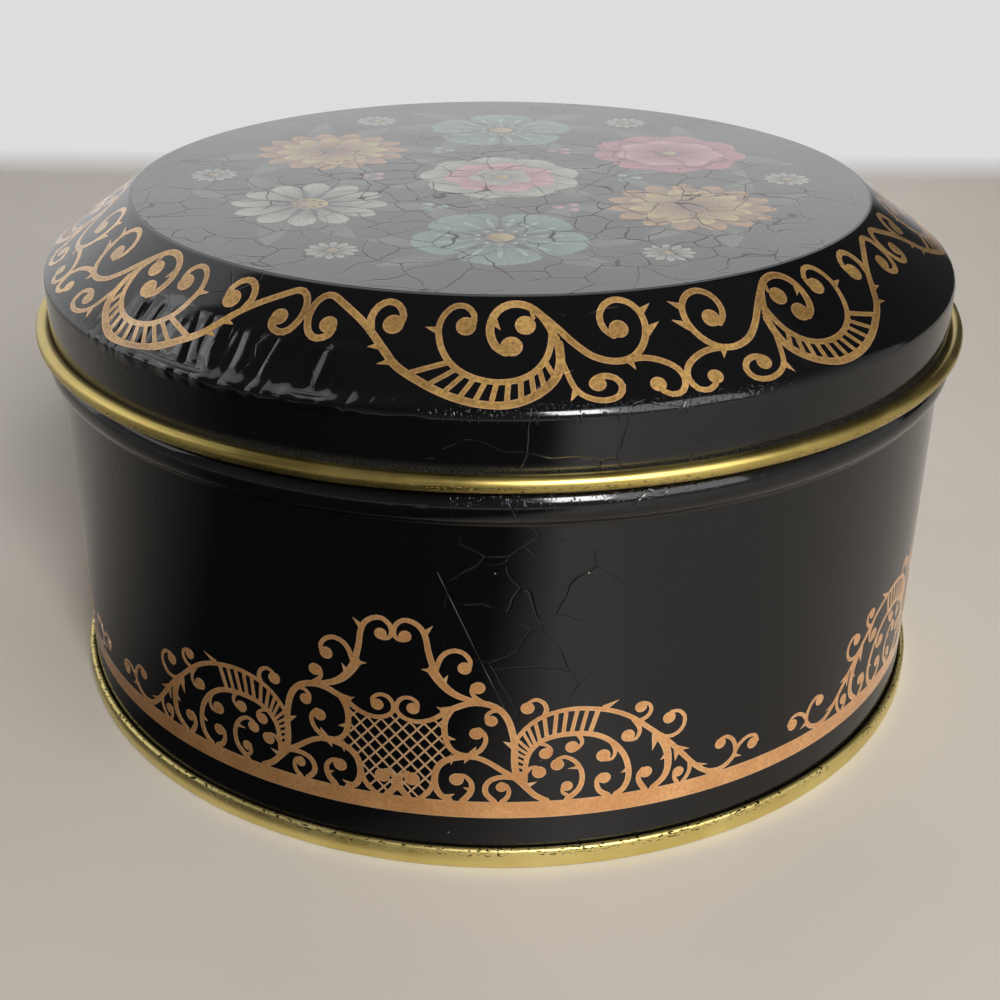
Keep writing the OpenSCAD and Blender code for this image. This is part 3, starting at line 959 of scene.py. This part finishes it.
def settled_dust(tree, place):
    """Grey dust that lies in the groove where the skirt runs into its curl."""
    fluff_size = 0.25 * MM
    height = add(tree, "ShaderNodeSeparateXYZ", {0: place}).outputs["Z"]
    thick = lid_curl_z + 1.3 * MM
    gone = lid_curl_z + 3 * MM
    groove = {"From Min": thick, "From Max": gone, "To Min": 0.1, "To Max": 0.0}
    low = add(tree, "ShaderNodeMapRange", {"Value": height, **groove})
    clumps = patchy(tree, place, fluff_size, 3.0, 0.42, 0.66, 0.2)
    return add(tree, "ShaderNodeMath", {0: low, 1: clumps}, operation="MULTIPLY")


lid_black = black_lacquer("black_stoving_lacquer_lid", lid_cracks, crease_scuffs, settled_dust)
# The crinkles go on top of the lacquer's own skin
lid_tree = lid_black.node_tree
lid_shader = lid_tree.nodes["Principled BSDF"]
lid_place = lid_tree.nodes["Texture Coordinate"].outputs["Object"]
smooth_skin = lid_shader.inputs["Normal"].links[0].from_socket
up_shoulder = {"Rotation": (0, 0, dent_middle), "Scale": (1, crinkle_stretch, crinkle_stretch)}
round_lid = add(lid_tree, "ShaderNodeMapping", {"Vector": lid_place, **up_shoulder}, vector_type="TEXTURE")
waves = add(lid_tree, "ShaderNodeTexNoise", {"Vector": round_lid, "Scale": 1 / crinkle_gap, "Detail": 1.0})
swell = add(lid_tree, "ShaderNodeMath", {0: waves, 1: 0.5}, operation="SUBTRACT")
folds = add(lid_tree, "ShaderNodeMath", {0: swell}, operation="ABSOLUTE")
near_dent = nearness(lid_tree, lid_place, dent_place, crinkle_reach)
at_crease = band(lid_tree, lid_place, *crinkle_heights)
crumpled = add(lid_tree, "ShaderNodeMath", {0: near_dent, 1: at_crease}, operation="MULTIPLY")
crinkles = add(lid_tree, "ShaderNodeMath", {0: folds, 1: crumpled}, operation="MULTIPLY")
creased_skin = add(
    lid_tree, "ShaderNodeBump", {"Height": crinkles, "Distance": crinkle_depth, "Normal": smooth_skin}
)
feed(lid_tree, lid_shader, {"Normal": creased_skin})
lid_gold = gold_lacquer("gold_lacquered_tinplate_lid", *GOLD, 0.28, *curl_chips, 0.55)
lid_corners = bent(
    [(0, lid_top_z), (top_corner_r, lid_top_z), (skirt_mid, crease_z), (skirt_mid, lid_curl_z)],
    [top_bend_r, shoulder_bend_r],
    bend_steps,
)
top_bend_end = bend_steps + 1
straight = Vector(lid_corners[top_bend_end + 1]) - Vector(lid_corners[top_bend_end])
lid_path = (
    [(top_corner_r * i / top_rings, lid_top_z) for i in range(top_rings)]
    + lid_corners[1 : top_bend_end + 1]
    + [
        tuple(Vector(lid_corners[top_bend_end]) + straight * i / shoulder_rows)
        for i in range(1, shoulder_rows)
    ]
    + lid_corners[top_bend_end + 1 : -1]
    + arc(skirt_mid + lid_curl_r, lid_curl_z, lid_curl_r, 180, 520, 30)
)
lid_shell = made_by(
    turned_sheet,
    "lid_shell",
    sheet_section("lid_section", lid_path),
    Columns=lid_columns,
    Outside=lid_black,
    Inside=lid_gold,
)
lid_faces = [polygon.vertices[:] for polygon in lid_shell.data.polygons]
true_lid = BVHTree.FromPolygons([vertex.co.copy() for vertex in lid_shell.data.vertices], lid_faces)
for vertex in lid_shell.data.vertices:
    vertex.co -= dent(vertex.co) * out_from_shoulder(vertex.co)
dented_lid = BVHTree.FromPolygons([vertex.co.copy() for vertex in lid_shell.data.vertices], lid_faces)
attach(lid_shell, "lid")
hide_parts("lid_cap")

# Scrollwork on the lid's shoulder: the same bronze ink, printed on the flat sheet before the lid was
# drawn. Half of one motif is drawn flat; it is mirrored and goes round four times.
LID_AXES = (-35.5, 29.7)
lid_ink_turn = math.radians(-24.4)
lid_ink_crowding = math.radians(3)
lid_slant = shoulder.length / MM
# Across, 0 is the front of the tin; down, 0 is the edge of the flat top
lid_strokes = [
    # Main stem, from the ball at the left axis over the top and down under the leaf to its tip
    (1.3, 1.5, [(-29.5, 8.6), (-29.9, 9.9), (-31.7, 10.8), (-33.6, 10.0), (-34.8, 7.3), (-34.7, 4.4),
                (-33.6, 2.6), (-31.9, 2.1), (-29.3, 3.4), (-25.5, 5.8), (-22.8, 8.0), (-19.5, 11.5),
                (-17.0, 14.2), (-13.0, 16.8), (-9.0, 19.0), (-4.5, 20.6), (0.0, 21.1), (3.5, 20.3),
                (6.5, 18.5), (8.8, 16.0), (9.8, 13.0), (9.9, 9.5)]),
    # Scroll that leaves the stem upwards
    (1.5, 1.2, [(-22.6, 8.2), (-23.2, 5.5), (-22.4, 3.2), (-20.6, 2.1), (-18.6, 2.7), (-17.4, 4.6),
                (-17.6, 6.2)]),
    # C scroll and inner edge of the leaf
    (1.1, 1.1, [(-4.8, 6.0), (-4.7, 3.8), (-6.2, 2.2), (-8.2, 2.2), (-9.8, 3.6), (-10.7, 6.0),
                (-10.4, 8.8), (-9.3, 11.6), (-7.4, 14.0), (-4.6, 15.8), (-1.0, 16.7), (2.5, 16.4),
                (5.4, 14.9), (7.6, 12.2), (8.7, 8.8), (8.9, 6.2)]),
    # Large inner curl, from the leaf's root over the top to its ball, and the ball that hangs in it
    (1.4, 1.5, [(9.6, 9.5), (8.7, 6.4), (6.9, 3.4), (4.4, 1.8), (1.7, 1.7), (-0.4, 2.9), (-1.6, 5.1),
                (-1.7, 7.6), (-0.8, 9.9), (0.9, 11.1)]),
    (0.7, 0.7, [(5.6, 2.6), (5.9, 4.4)]),
    # Right branch and its curl
    (1.3, 1.2, [(5.2, 2.0), (7.6, 4.0), (10.2, 6.8), (12.5, 9.6), (15.4, 12.3), (18.9, 13.5),
                (22.0, 12.9), (24.4, 10.6), (25.7, 7.4), (25.5, 4.4), (23.8, 2.2), (21.2, 1.5),
                (18.9, 2.6), (17.8, 4.8), (18.2, 7.1), (19.6, 8.6)]),
    # Lower branch and its curl
    (0.8, 1.2, [(9.8, 8.4), (10.0, 12.0), (10.6, 15.0), (11.6, 18.2), (13.4, 20.0), (16.0, 20.7),
                (18.2, 20.0), (19.0, 18.2), (18.1, 16.6), (16.4, 16.1), (15.0, 16.6)]),
    # Right end, which meets its mirror image
    (1.2, 1.0, [(20.5, 13.3), (24.0, 13.3), (26.8, 14.3), (28.8, 16.0), (29.4, 18.2), (28.4, 20.3),
                (26.6, 20.7), (25.3, 19.9)]),
]
lid_balls = [
    (-30.6, 7.9, 1.65), (-18.9, 6.5, 1.9), (-6.0, 6.1, 1.8), (1.9, 9.9, 1.9), (4.4, 5.8, 1.85),
    (20.8, 7.3, 1.75), (15.2, 17.5, 1.4), (24.8, 18.5, 1.35),
]
lid_thorns = [
    ((-20.1, 10.8), (-22.5, 11.2), 1.6), ((-17.6, 13.4), (-20.2, 14.2), 1.6),
    ((-10.3, 7.2), (-13.2, 6.6), 1.8), ((25.2, 4.6), (28.0, 2.8), 1.8), ((25.5, 8.3), (28.5, 6.6), 2.0),
    ((21.2, 13.5), (21.9, 15.4), 1.4), ((11.6, 18.8), (10.6, 20.6), 1.2), ((-1.5, 4.6), (0.1, 6.8), 1.8),
]
lid_bars = [
    ((-8.4, 13.2), (-14.8, 15.6), 1.0), ((-7.0, 14.4), (-11.4, 17.7), 0.85),
    ((-5.6, 15.3), (-8.8, 19.1), 0.85), ((-4.0, 16.0), (-6.3, 20.0), 0.85),
    ((-2.2, 16.5), (-3.9, 20.7), 0.85), ((-0.5, 16.7), (-1.4, 21.0), 0.85),
    ((1.3, 16.6), (1.0, 21.0), 0.85), ((3.2, 16.1), (3.2, 20.3), 0.85),
    ((4.9, 15.2), (5.2, 19.2), 0.85), ((6.2, 14.0), (6.9, 18.0), 0.85),
    ((7.3, 12.8), (8.6, 16.0), 0.85),
]
lid_shapes = []
for shape in scrollwork(lid_strokes, lid_balls, lid_thorns, lid_bars):
    lid_shapes.append([Vector((p.x, lid_slant - p.y)) for p in shape])
lid_print = made_by(
    print_round,
    "lid_scrollwork",
    printed_half("lid_motif", lid_shapes, LID_AXES),
    **{
        "Half width": (LID_AXES[1] - LID_AXES[0]) * MM,
        "Repeats": REPEATS,
        "Turn": lid_ink_turn,
        "Crowding": lid_ink_crowding,
        "Start radius": skirt_mid + HALF_SHEET * math.sin(slope),
        "Start height": crease_z - HALF_SHEET * math.cos(slope),
        "Slope": slope,
        "Ink": bronze_ink("bronze_printing_ink_lid", "#7f5a28", "#e8bc70", "#eab68a", lid_cracks),
    },
)
# Where the shoulder is crumpled, the ink sinks as far as the sheet under it. Both sheets are felt for
# from a little way out.
feel_from = 3 * MM
for vertex in lid_print.data.vertices:
    out = out_from_shoulder(vertex.co)
    start = vertex.co + feel_from * out
    true_depth = true_lid.ray_cast(start, -out)[3]
    dented_depth = dented_lid.ray_cast(start, -out)[3]
    if true_depth and dented_depth:
        vertex.co -= (dented_depth - true_depth) * out
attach(lid_print, "lid")
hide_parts("lid_cap")

# Flower picture on the lid's flat top: a wreath in soft colours on black, printed as brush strokes from
# a painted pattern, with a rosette in the middle. It lies under clear varnish that has cracked with age.
# The picture ends a little inside the edge of the flat top, in mm, and its film reaches into the sheet
picture_margin = 0.5
picture_r = top_corner_r / MM - picture_margin
picture_grip = 0.03 * MM
picture_corners = 240
# How far the large flowers, the small daisies and the berries stand from the middle, in mm
wreath_r = 44
small_daisy_r = 61
berry_r = 27
flower_size = 1.32
small_daisy_size = 0.42
BLACK = ("#060607", "#060607")
PINK = ("#4a1d28", "#a95f6a")
BLUSH = ("#5f2f39", "#bd868a")
ORANGE = ("#472a1a", "#a07642")
YELLOW = ("#5f4824", "#b09b57")
AQUA = ("#1a2b29", "#628379")
MIST = ("#3c5652", "#86a39c")
CREAM = ("#3d3e37", "#a0a193")
LEAF = ("#161c16", "#525c4b")
BROWN = ("#3a261a", "#6a4a30")
PETAL_FILL = 0.65
Stroke = namedtuple("Stroke", "foot along length width belly bend fill colours")


def heading(turn):
    """Step of one unit in a direction."""
    return Vector((math.cos(turn), math.sin(turn)))


def stroke(place, turn, length, width, colours, belly=0.62, bend=0.0, fill=PETAL_FILL):
    """Brush stroke from a place, in a direction, with its widest part a share of the way along."""
    return Stroke(Vector(place), heading(turn), length, width, belly, bend, fill, colours)


def ring(middle, count, start, length, width, colours, turn=0.0, **shape):
    """Strokes that point outwards all round a middle."""
    strokes = []
    for i in range(count):
        angle = turn + math.tau * i / count
        foot = middle + start * heading(angle)
        strokes.append(stroke(foot, angle, length, width, colours, **shape))
    return strokes


def dab(middle, radius, colours):
    """Round touch of the brush."""
    return stroke(middle - Vector((radius, 0)), 0, 2 * radius, 2 * radius, colours, belly=0.5, fill=0.5)


def dabs(middle, count, away, radius, colours, turn=0.0):
    """Round touches in a ring."""
    angles = [turn + math.tau * i / count for i in range(count)]
    return [dab(middle + away * heading(a), radius, colours) for a in angles]


def rosette(middle, turn, outer=PINK, inner=BLUSH):
    """Full flower of three rings of wide petals."""
    return (
        ring(middle, 9, 4.6, 8.6, 8.4, outer, turn)
        + ring(middle, 7, 2.2, 7.0, 7.0, inner, turn + 0.2)
        + ring(middle, 5, 0.6, 4.6, 4.6, outer, turn + 0.5)
        + [dab(middle, 1.3, YELLOW)]
    )


def blossom(middle, turn):
    """Open flower of five broad petals with pale veins and a ring of stamens."""
    veins = ring(middle, 15, 3.0, 6.5, 0.8, MIST, turn)
    return (
        ring(middle, 5, 1.6, 11.4, 11.6, AQUA, turn, belly=0.66)
        + veins
        + dabs(middle, 10, 3.4, 0.55, CREAM, turn)
        + [dab(middle, 2.1, YELLOW)]
    )


def marigold(middle, turn):
    """Flower of many narrow petals in three rings."""
    return (
        ring(middle, 15, 5.2, 7.8, 4.0, ORANGE, turn)
        + ring(middle, 12, 2.8, 6.8, 3.6, YELLOW, turn + 0.15)
        + ring(middle, 8, 0.9, 4.6, 3.0, ORANGE, turn)
        + [dab(middle, 1.7, BROWN)]
    )


def daisy(middle, turn, size=1.0):
    """Flower of one ring of narrow cream petals."""
    return (
        ring(middle, 12, 2.2 * size, 9.8 * size, 4.2 * size, CREAM, turn, belly=0.7)
        + [dab(middle, 2.9 * size, YELLOW)]
        + dabs(middle, 8, 1.8 * size, 0.5 * size, BROWN, turn)
    )


def spray(middle, turn):
    """Comma leaves that curl away on both sides of a flower, towards the edge and the middle."""
    leaves = []
    for side in (1, -1):
        for out, length in ((0.75, 13), (1.35, 11), (2.45, 11)):
            angle = turn + side * out
            foot = middle + 8.5 * heading(angle)
            leaves.append(stroke(foot, angle, length, 4.6, LEAF, belly=0.45, bend=side * 3.0, fill=1.0))
    return leaves


def grown(strokes, middle, size):
    """The strokes, made larger about a middle."""
    return [
        s._replace(
            foot=middle + (s.foot - middle) * size,
            length=s.length * size,
            width=s.width * size,
            bend=s.bend * size,
        )
        for s in strokes
    ]


leaves = []
flowers = []
kinds = (rosette, blossom, marigold, daisy, blossom, marigold)
for i, kind in enumerate(kinds):
    turn = math.tau * (i + 0.5) / len(kinds)
    middle = wreath_r * heading(turn)
    leaves += grown(spray(middle, turn), middle, flower_size)
    flowers += grown(kind(middle, turn), middle, flower_size)
    between = turn + math.pi / len(kinds)
    aside = heading(between)
    flowers += daisy(small_daisy_r * aside, between, small_daisy_size)
    flowers += dabs(berry_r * aside, 3, 2.0, 1.2, MIST if i % 2 else BLUSH, between)
heart = Vector((0, 0))
leaves += ring(heart, 6, 12, 13, 5.6, LEAF, 0.3, belly=0.45, bend=2.5, fill=1.0)
flowers += grown(rosette(heart, 0.3, CREAM, BLUSH), heart, flower_size)
painting = leaves + flowers


def brushed(mark):
    """Quads of a brush stroke, in rows from its foot to its tip."""
    side = Vector((-mark.along.y, mark.along.x))
    power = math.log(0.5) / math.log(mark.belly)
    parts = max(4, min(9, round(mark.length / 1.3)))
    rows = []
    for share in [0.02 + 0.96 * i / parts for i in range(parts + 1)]:
        half = mark.width / 2 * math.sin(math.pi * share**power) ** mark.fill
        middle = mark.foot + mark.along * mark.length * share + side * mark.bend * share * share
        rows.append((middle + side * half, middle, middle - side * half))
    return quads_between(rows)


def loaded(mark, point):
    """Colour that a brush loaded with two colours leaves at a point, and the place in its stroke."""
    reach = point - mark.foot
    share = reach.dot(mark.along) / mark.length
    side = reach.dot(Vector((-mark.along.y, mark.along.x))) - mark.bend * share * share
    blend = min(max(0.8 * share + 0.2 * (0.5 + side / mark.width), 0), 1)
    dark, light = [linear(colour) for colour in mark.colours]
    colour = [a + (b - a) * blend for a, b in zip(dark, light)]
    return colour, (share * mark.length, side, 0)


ground = stroke((0, 0), 0, 1.0, 1.0, BLACK, belly=0.5, fill=1.0)
outlines = [disc(0, 0, picture_r, picture_corners)]
marks = [ground]
for mark in painting:
    quads = brushed(mark)
    outlines += quads
    marks += [mark] * len(quads)
points, pieces = laid_out(outlines)
faces = []
tops = []
for face, owners in pieces:
    if owners:
        faces.append(face)
        tops.append(marks[max(owners)])
picture_low = lid_high.z - picture_t - picture_grip
picture_mesh = film("lid_picture", points, faces, picture_low, lid_high.z)
paint = picture_mesh.attributes.new("paint", "FLOAT_COLOR", "CORNER")
brush = picture_mesh.attributes.new("brush", "FLOAT_VECTOR", "CORNER")
for polygon in picture_mesh.polygons:
    mark = tops[polygon.index] if polygon.index < len(tops) else ground
    for corner in polygon.loop_indices:
        spot = picture_mesh.vertices[picture_mesh.loops[corner].vertex_index].co
        colour, place = loaded(mark, Vector((spot.x, spot.y)) / MM)
        paint.data[corner].color = colour
        brush.data[corner].vector = place


def picture_print():
    """Printed picture under old varnish."""
    # Offset colours under clear varnish: soft opaque paints with the streaks of a bristle brush, and a
    # hard gloss over all of it, hazed by wiping and broken by a net of cracks.
    streak_width = 0.5
    streak_length = 6
    crack_cell = 9 * MM
    crack_middle = Vector((0, -60, 105)) * MM
    crack_reach = 120 * MM
    haze_size = 22 * MM
    wave_size = 30 * MM
    material, tree, shader, place = new_material("varnished_picture_print")
    tint = add(tree, "ShaderNodeAttribute", attribute_name="paint").outputs["Color"]
    along = add(tree, "ShaderNodeAttribute", attribute_name="brush").outputs["Vector"]
    # Bristle streaks: "brush" is in mm along and across the stroke
    combed = add(
        tree, "ShaderNodeMapping", {"Vector": along, "Scale": (1 / streak_length, 1 / streak_width, 1)}
    )
    streaks = patchy(tree, combed, 1.0, 2.0, 0.3, 0.7, 0.72, 1.2)
    painted = add(
        tree, "ShaderNodeMix", {0: 1.0, 6: tint, 7: streaks}, data_type="RGBA", blend_type="MULTIPLY"
    )
    cracks = crazing(tree, place, crack_cell, crack_middle, crack_reach)
    colour = add(tree, "ShaderNodeMix", {0: cracks, 6: painted, 7: linear("#1c1b1a")}, data_type="RGBA")
    gloss = patchy(tree, place, haze_size, 5.0, 0.3, 0.7, 0.1, 0.2)
    roughness = add(tree, "ShaderNodeMix", {0: cracks, 2: gloss, 3: 0.5})
    waves = add(tree, "ShaderNodeTexNoise", {"Vector": place, "Scale": 1 / wave_size, "Detail": 1.0})
    panel = add(tree, "ShaderNodeBump", {"Height": waves, "Distance": 0.06 * MM})
    split = add(
        tree, "ShaderNodeBump", {"Height": cracks, "Distance": 0.06 * MM, "Normal": panel}, invert=True
    )
    feed(tree, shader, {"Base Color": colour, "Roughness": roughness, "Normal": split})
    # Veil of fine dust, which greys the lid when it is seen at a flat angle
    feed(tree, shader, {"Sheen Weight": 0.12, "Sheen Roughness": 0.5})
    return material


picture_mesh.materials.append(picture_print())
picture = bpy.data.objects.new("lid_picture", picture_mesh)
bpy.context.scene.collection.objects.link(picture)
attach(picture, "lid")
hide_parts("lid_cap")

# Floor, backdrop, light and camera: a plain pale table with a pale wall behind it, and a window of
# soft light behind the camera, to its right, with its brightest pane nearest to the camera.
floor_half = 1.6
wall_y = 0.46
wall_top = 1.35
fade_y = 0.41
BOARDS = {
    "floor": [(floor_half * x, floor_half * y, 0) for x, y in ((-1, -1), (1, -1), (1, 1), (-1, 1))],
    "backdrop": [(floor_half * x, wall_y, wall_top * z) for x, z in ((1, 0), (-1, 0), (-1, 1), (1, 1))],
}
# Light on the wall: it grows with the height, and its reflection goes dark towards the right
light_by_height = {"From Min": 0.05, "From Max": 0.17, "To Min": 0.8, "To Max": 1.15}
mirrored_by_place = {"From Min": 0.21, "From Max": 0.34, "To Min": 1.0, "To Max": 0.05}
cloud_size = 0.12

# Painted board: pale warm grey, matt, with a little unevenness in the paint
board, board_tree, board_shader, board_place = new_material("painted_board")
clouds = add(
    board_tree, "ShaderNodeTexNoise", {"Vector": board_place, "Scale": 1 / cloud_size, "Detail": 3.0}
)
board_colour = add(
    board_tree, "ShaderNodeMix", {0: clouds, 6: linear("#c4beb4"), 7: linear("#cfc9c0")}, data_type="RGBA"
)
feed(board_tree, board_shader, {"Base Color": board_colour, "Roughness": 0.5})
# The wall and the floor at its foot are lit from above: their paint shows that light to the eye and
# to every reflection, but a reflection shows the right of the wall dark
rays = add(board_tree, "ShaderNodeLightPath").outputs
seen = add(board_tree, "ShaderNodeMath", {0: rays["Is Camera Ray"], 1: rays["Is Glossy Ray"]})
shown = add(board_tree, "ShaderNodeMath", {0: seen, 1: rays["Is Transmission Ray"]}, use_clamp=True)
board_spot = add(board_tree, "ShaderNodeSeparateXYZ", {0: board_place}).outputs
at_back = add(
    board_tree, "ShaderNodeMapRange", {"Value": board_spot["Y"], "From Min": fade_y, "From Max": wall_y}
)
wash = add(board_tree, "ShaderNodeMapRange", {"Value": board_spot["Z"], **light_by_height})
lit = add(board_tree, "ShaderNodeMapRange", {"Value": board_spot["X"], **mirrored_by_place})
mirrored = add(board_tree, "ShaderNodeMath", {0: lit, 1: rays["Is Glossy Ray"]}, operation="POWER")
light = add(board_tree, "ShaderNodeMath", {0: wash, 1: mirrored}, operation="MULTIPLY")
glow = add(board_tree, "ShaderNodeEmission", {"Color": linear("#f4f4f6"), "Strength": light})
share = add(board_tree, "ShaderNodeMath", {0: shown, 1: at_back}, operation="MULTIPLY")
mixed = add(board_tree, "ShaderNodeMixShader", {0: share, 1: board_shader, 2: glow})
feed(board_tree, board_tree.nodes["Material Output"], {"Surface": mixed})
for name, corners in BOARDS.items():
    board_mesh = bpy.data.meshes.new(name)
    board_mesh.from_pydata(corners, [], [range(4)])
    board_mesh.materials.append(board)
    sheet = bpy.data.objects.new(name, board_mesh)
    # The backdrop shows in reflections only, so that the eye sees past it from behind
    sheet.visible_camera = name == "floor"
    bpy.context.scene.collection.objects.link(sheet)

# Dark card on the floor at the front left, seen only in reflections: painted shade in the reflections,
# which keeps the black lacquer deep there, up to a soft slanting edge near the middle
card_left = math.radians(-100)
card_soft = math.radians(45)
card_right = math.radians(20)
card_slant = 0.4
card_edge = -57 * MM
card_fade = 19 * MM
card_near = wall_r + 2.8 * MM
card_far = 0.5
card_z = 1 * MM
card_parts = 24
card_angles = [card_left + (card_right - card_left) * i / card_parts for i in range(card_parts + 1)]
card_mesh = bpy.data.meshes.new("painted_shade_card")
card_mesh.from_pydata(
    [(r * math.sin(a), -r * math.cos(a), card_z) for a in card_angles for r in (card_near, card_far)],
    [],
    [(2 * i, 2 * i + 1, 2 * i + 3, 2 * i + 2) for i in range(card_parts)],
)
card = bpy.data.objects.new("painted_shade_card", card_mesh)
card.visible_camera = False
card.visible_diffuse = False
card.visible_shadow = False
bpy.context.scene.collection.objects.link(card)
# Painted shade: dead matt black, and it thins out towards its soft edges
painted_shade, painted_shade_tree, painted_shade_shader, painted_shade_place = new_material("painted_shade_black")
spread = add(painted_shade_tree, "ShaderNodeSeparateXYZ", {0: painted_shade_place}).outputs
round_card = turn_from_front(painted_shade_tree, spread)
start = {"From Min": card_left, "From Max": card_left + card_soft}
cover = add(painted_shade_tree, "ShaderNodeMapRange", {"Value": round_card, **start})
slanted = add(painted_shade_tree, "ShaderNodeMath", {0: spread["Y"], 1: card_slant}, operation="MULTIPLY")
side = add(painted_shade_tree, "ShaderNodeMath", {0: spread["X"], 1: slanted})
end = {"From Min": card_edge - card_fade, "From Max": card_edge + card_fade, "To Min": 1.0, "To Max": 0.0}
edge_cover = add(painted_shade_tree, "ShaderNodeMapRange", {"Value": side, **end})
painted_shade_cover = add(painted_shade_tree, "ShaderNodeMath", {0: cover, 1: edge_cover}, operation="MULTIPLY")
feed(painted_shade_tree, painted_shade_shader, {"Base Color": linear("#0a0a0a"), "Roughness": 1.0, "Alpha": painted_shade_cover})
card_mesh.materials.append(painted_shade)

# Lamps: turn from the front towards the right, height angle, distance, width, height and power. The
# left wall is a pale surface that shows in the gloss alone.
LAMPS = {
    "bright_pane": (19, 33, 1.5, 0.31, 0.6, 16.5),
    "window": (42, 32, 1.5, 0.85, 1.1, 9.5),
    "left_wall": (-100, 30, 1.3, 0.9, 0.5, 1.9),
}
aim = Vector((0, 0, 0.05))
for name, (turn, rise, distance, width, tall, power) in LAMPS.items():
    lamp = bpy.data.lights.new(name, "AREA")
    lamp.shape = "RECTANGLE"
    lamp.size = width
    lamp.size_y = tall
    lamp.energy = power
    lamp_object = bpy.data.objects.new(name, lamp)
    turn = math.radians(turn)
    rise = math.radians(rise)
    toward = Vector((math.sin(turn) * math.cos(rise), -math.cos(turn) * math.cos(rise), math.sin(rise)))
    lamp_object.location = aim + distance * toward
    lamp_object.rotation_euler = toward.to_track_quat("Z", "Y").to_euler()
    lamp_object.visible_camera = False
    lamp_object.visible_diffuse = name != "left_wall"
    bpy.context.scene.collection.objects.link(lamp_object)

# Room light: grey, paler towards the horizon, and dim at the front left
room_by_height = {"From Min": 0.0, "From Max": 0.7, "To Min": 0.66, "To Max": 0.14}
room_by_side = {"From Min": 0.1, "From Max": 0.8, "To Min": 1.0, "To Max": 0.35}
dim_side = Vector((-0.64, -0.77, 0))
world = bpy.data.worlds.new("room")
bpy.context.scene.world = world
world.use_nodes = True
world_tree = world.node_tree
toward = add(world_tree, "ShaderNodeTexCoord").outputs["Generated"]
up = add(world_tree, "ShaderNodeSeparateXYZ", {0: toward}).outputs["Z"]
level = add(world_tree, "ShaderNodeMapRange", {"Value": up, **room_by_height})
front_left = add(world_tree, "ShaderNodeVectorMath", {0: toward, 1: dim_side}, operation="DOT_PRODUCT")
dim = add(world_tree, "ShaderNodeMapRange", {"Value": front_left, **room_by_side})
room = add(world_tree, "ShaderNodeMath", {0: level, 1: dim}, operation="MULTIPLY")
feed(world_tree, world_tree.nodes["Background"], {"Strength": room, "Color": linear("#f6f7fa")})

# Camera: its place in metres and its turns in radians, as the circles of the lid and the foot give them
camera_place = Vector((0, -0.3099, 0.1853))
camera_pitch = 0.4687
camera_yaw = 0.0013
camera_roll = 0.0074
camera_data = bpy.data.cameras.new("camera")
camera_data.sensor_width = 36
camera_data.lens = 52.8
camera = bpy.data.objects.new("camera", camera_data)
turned = Matrix.Rotation(-camera_yaw, 4, "Z") @ Matrix.Rotation(math.pi / 2 - camera_pitch, 4, "X")
camera.matrix_world = Matrix.Translation(camera_place) @ turned @ Matrix.Rotation(camera_roll, 4, "Z")
bpy.context.scene.collection.objects.link(camera)
bpy.context.scene.camera = camera
bpy.context.scene.view_settings.view_transform = "Standard"
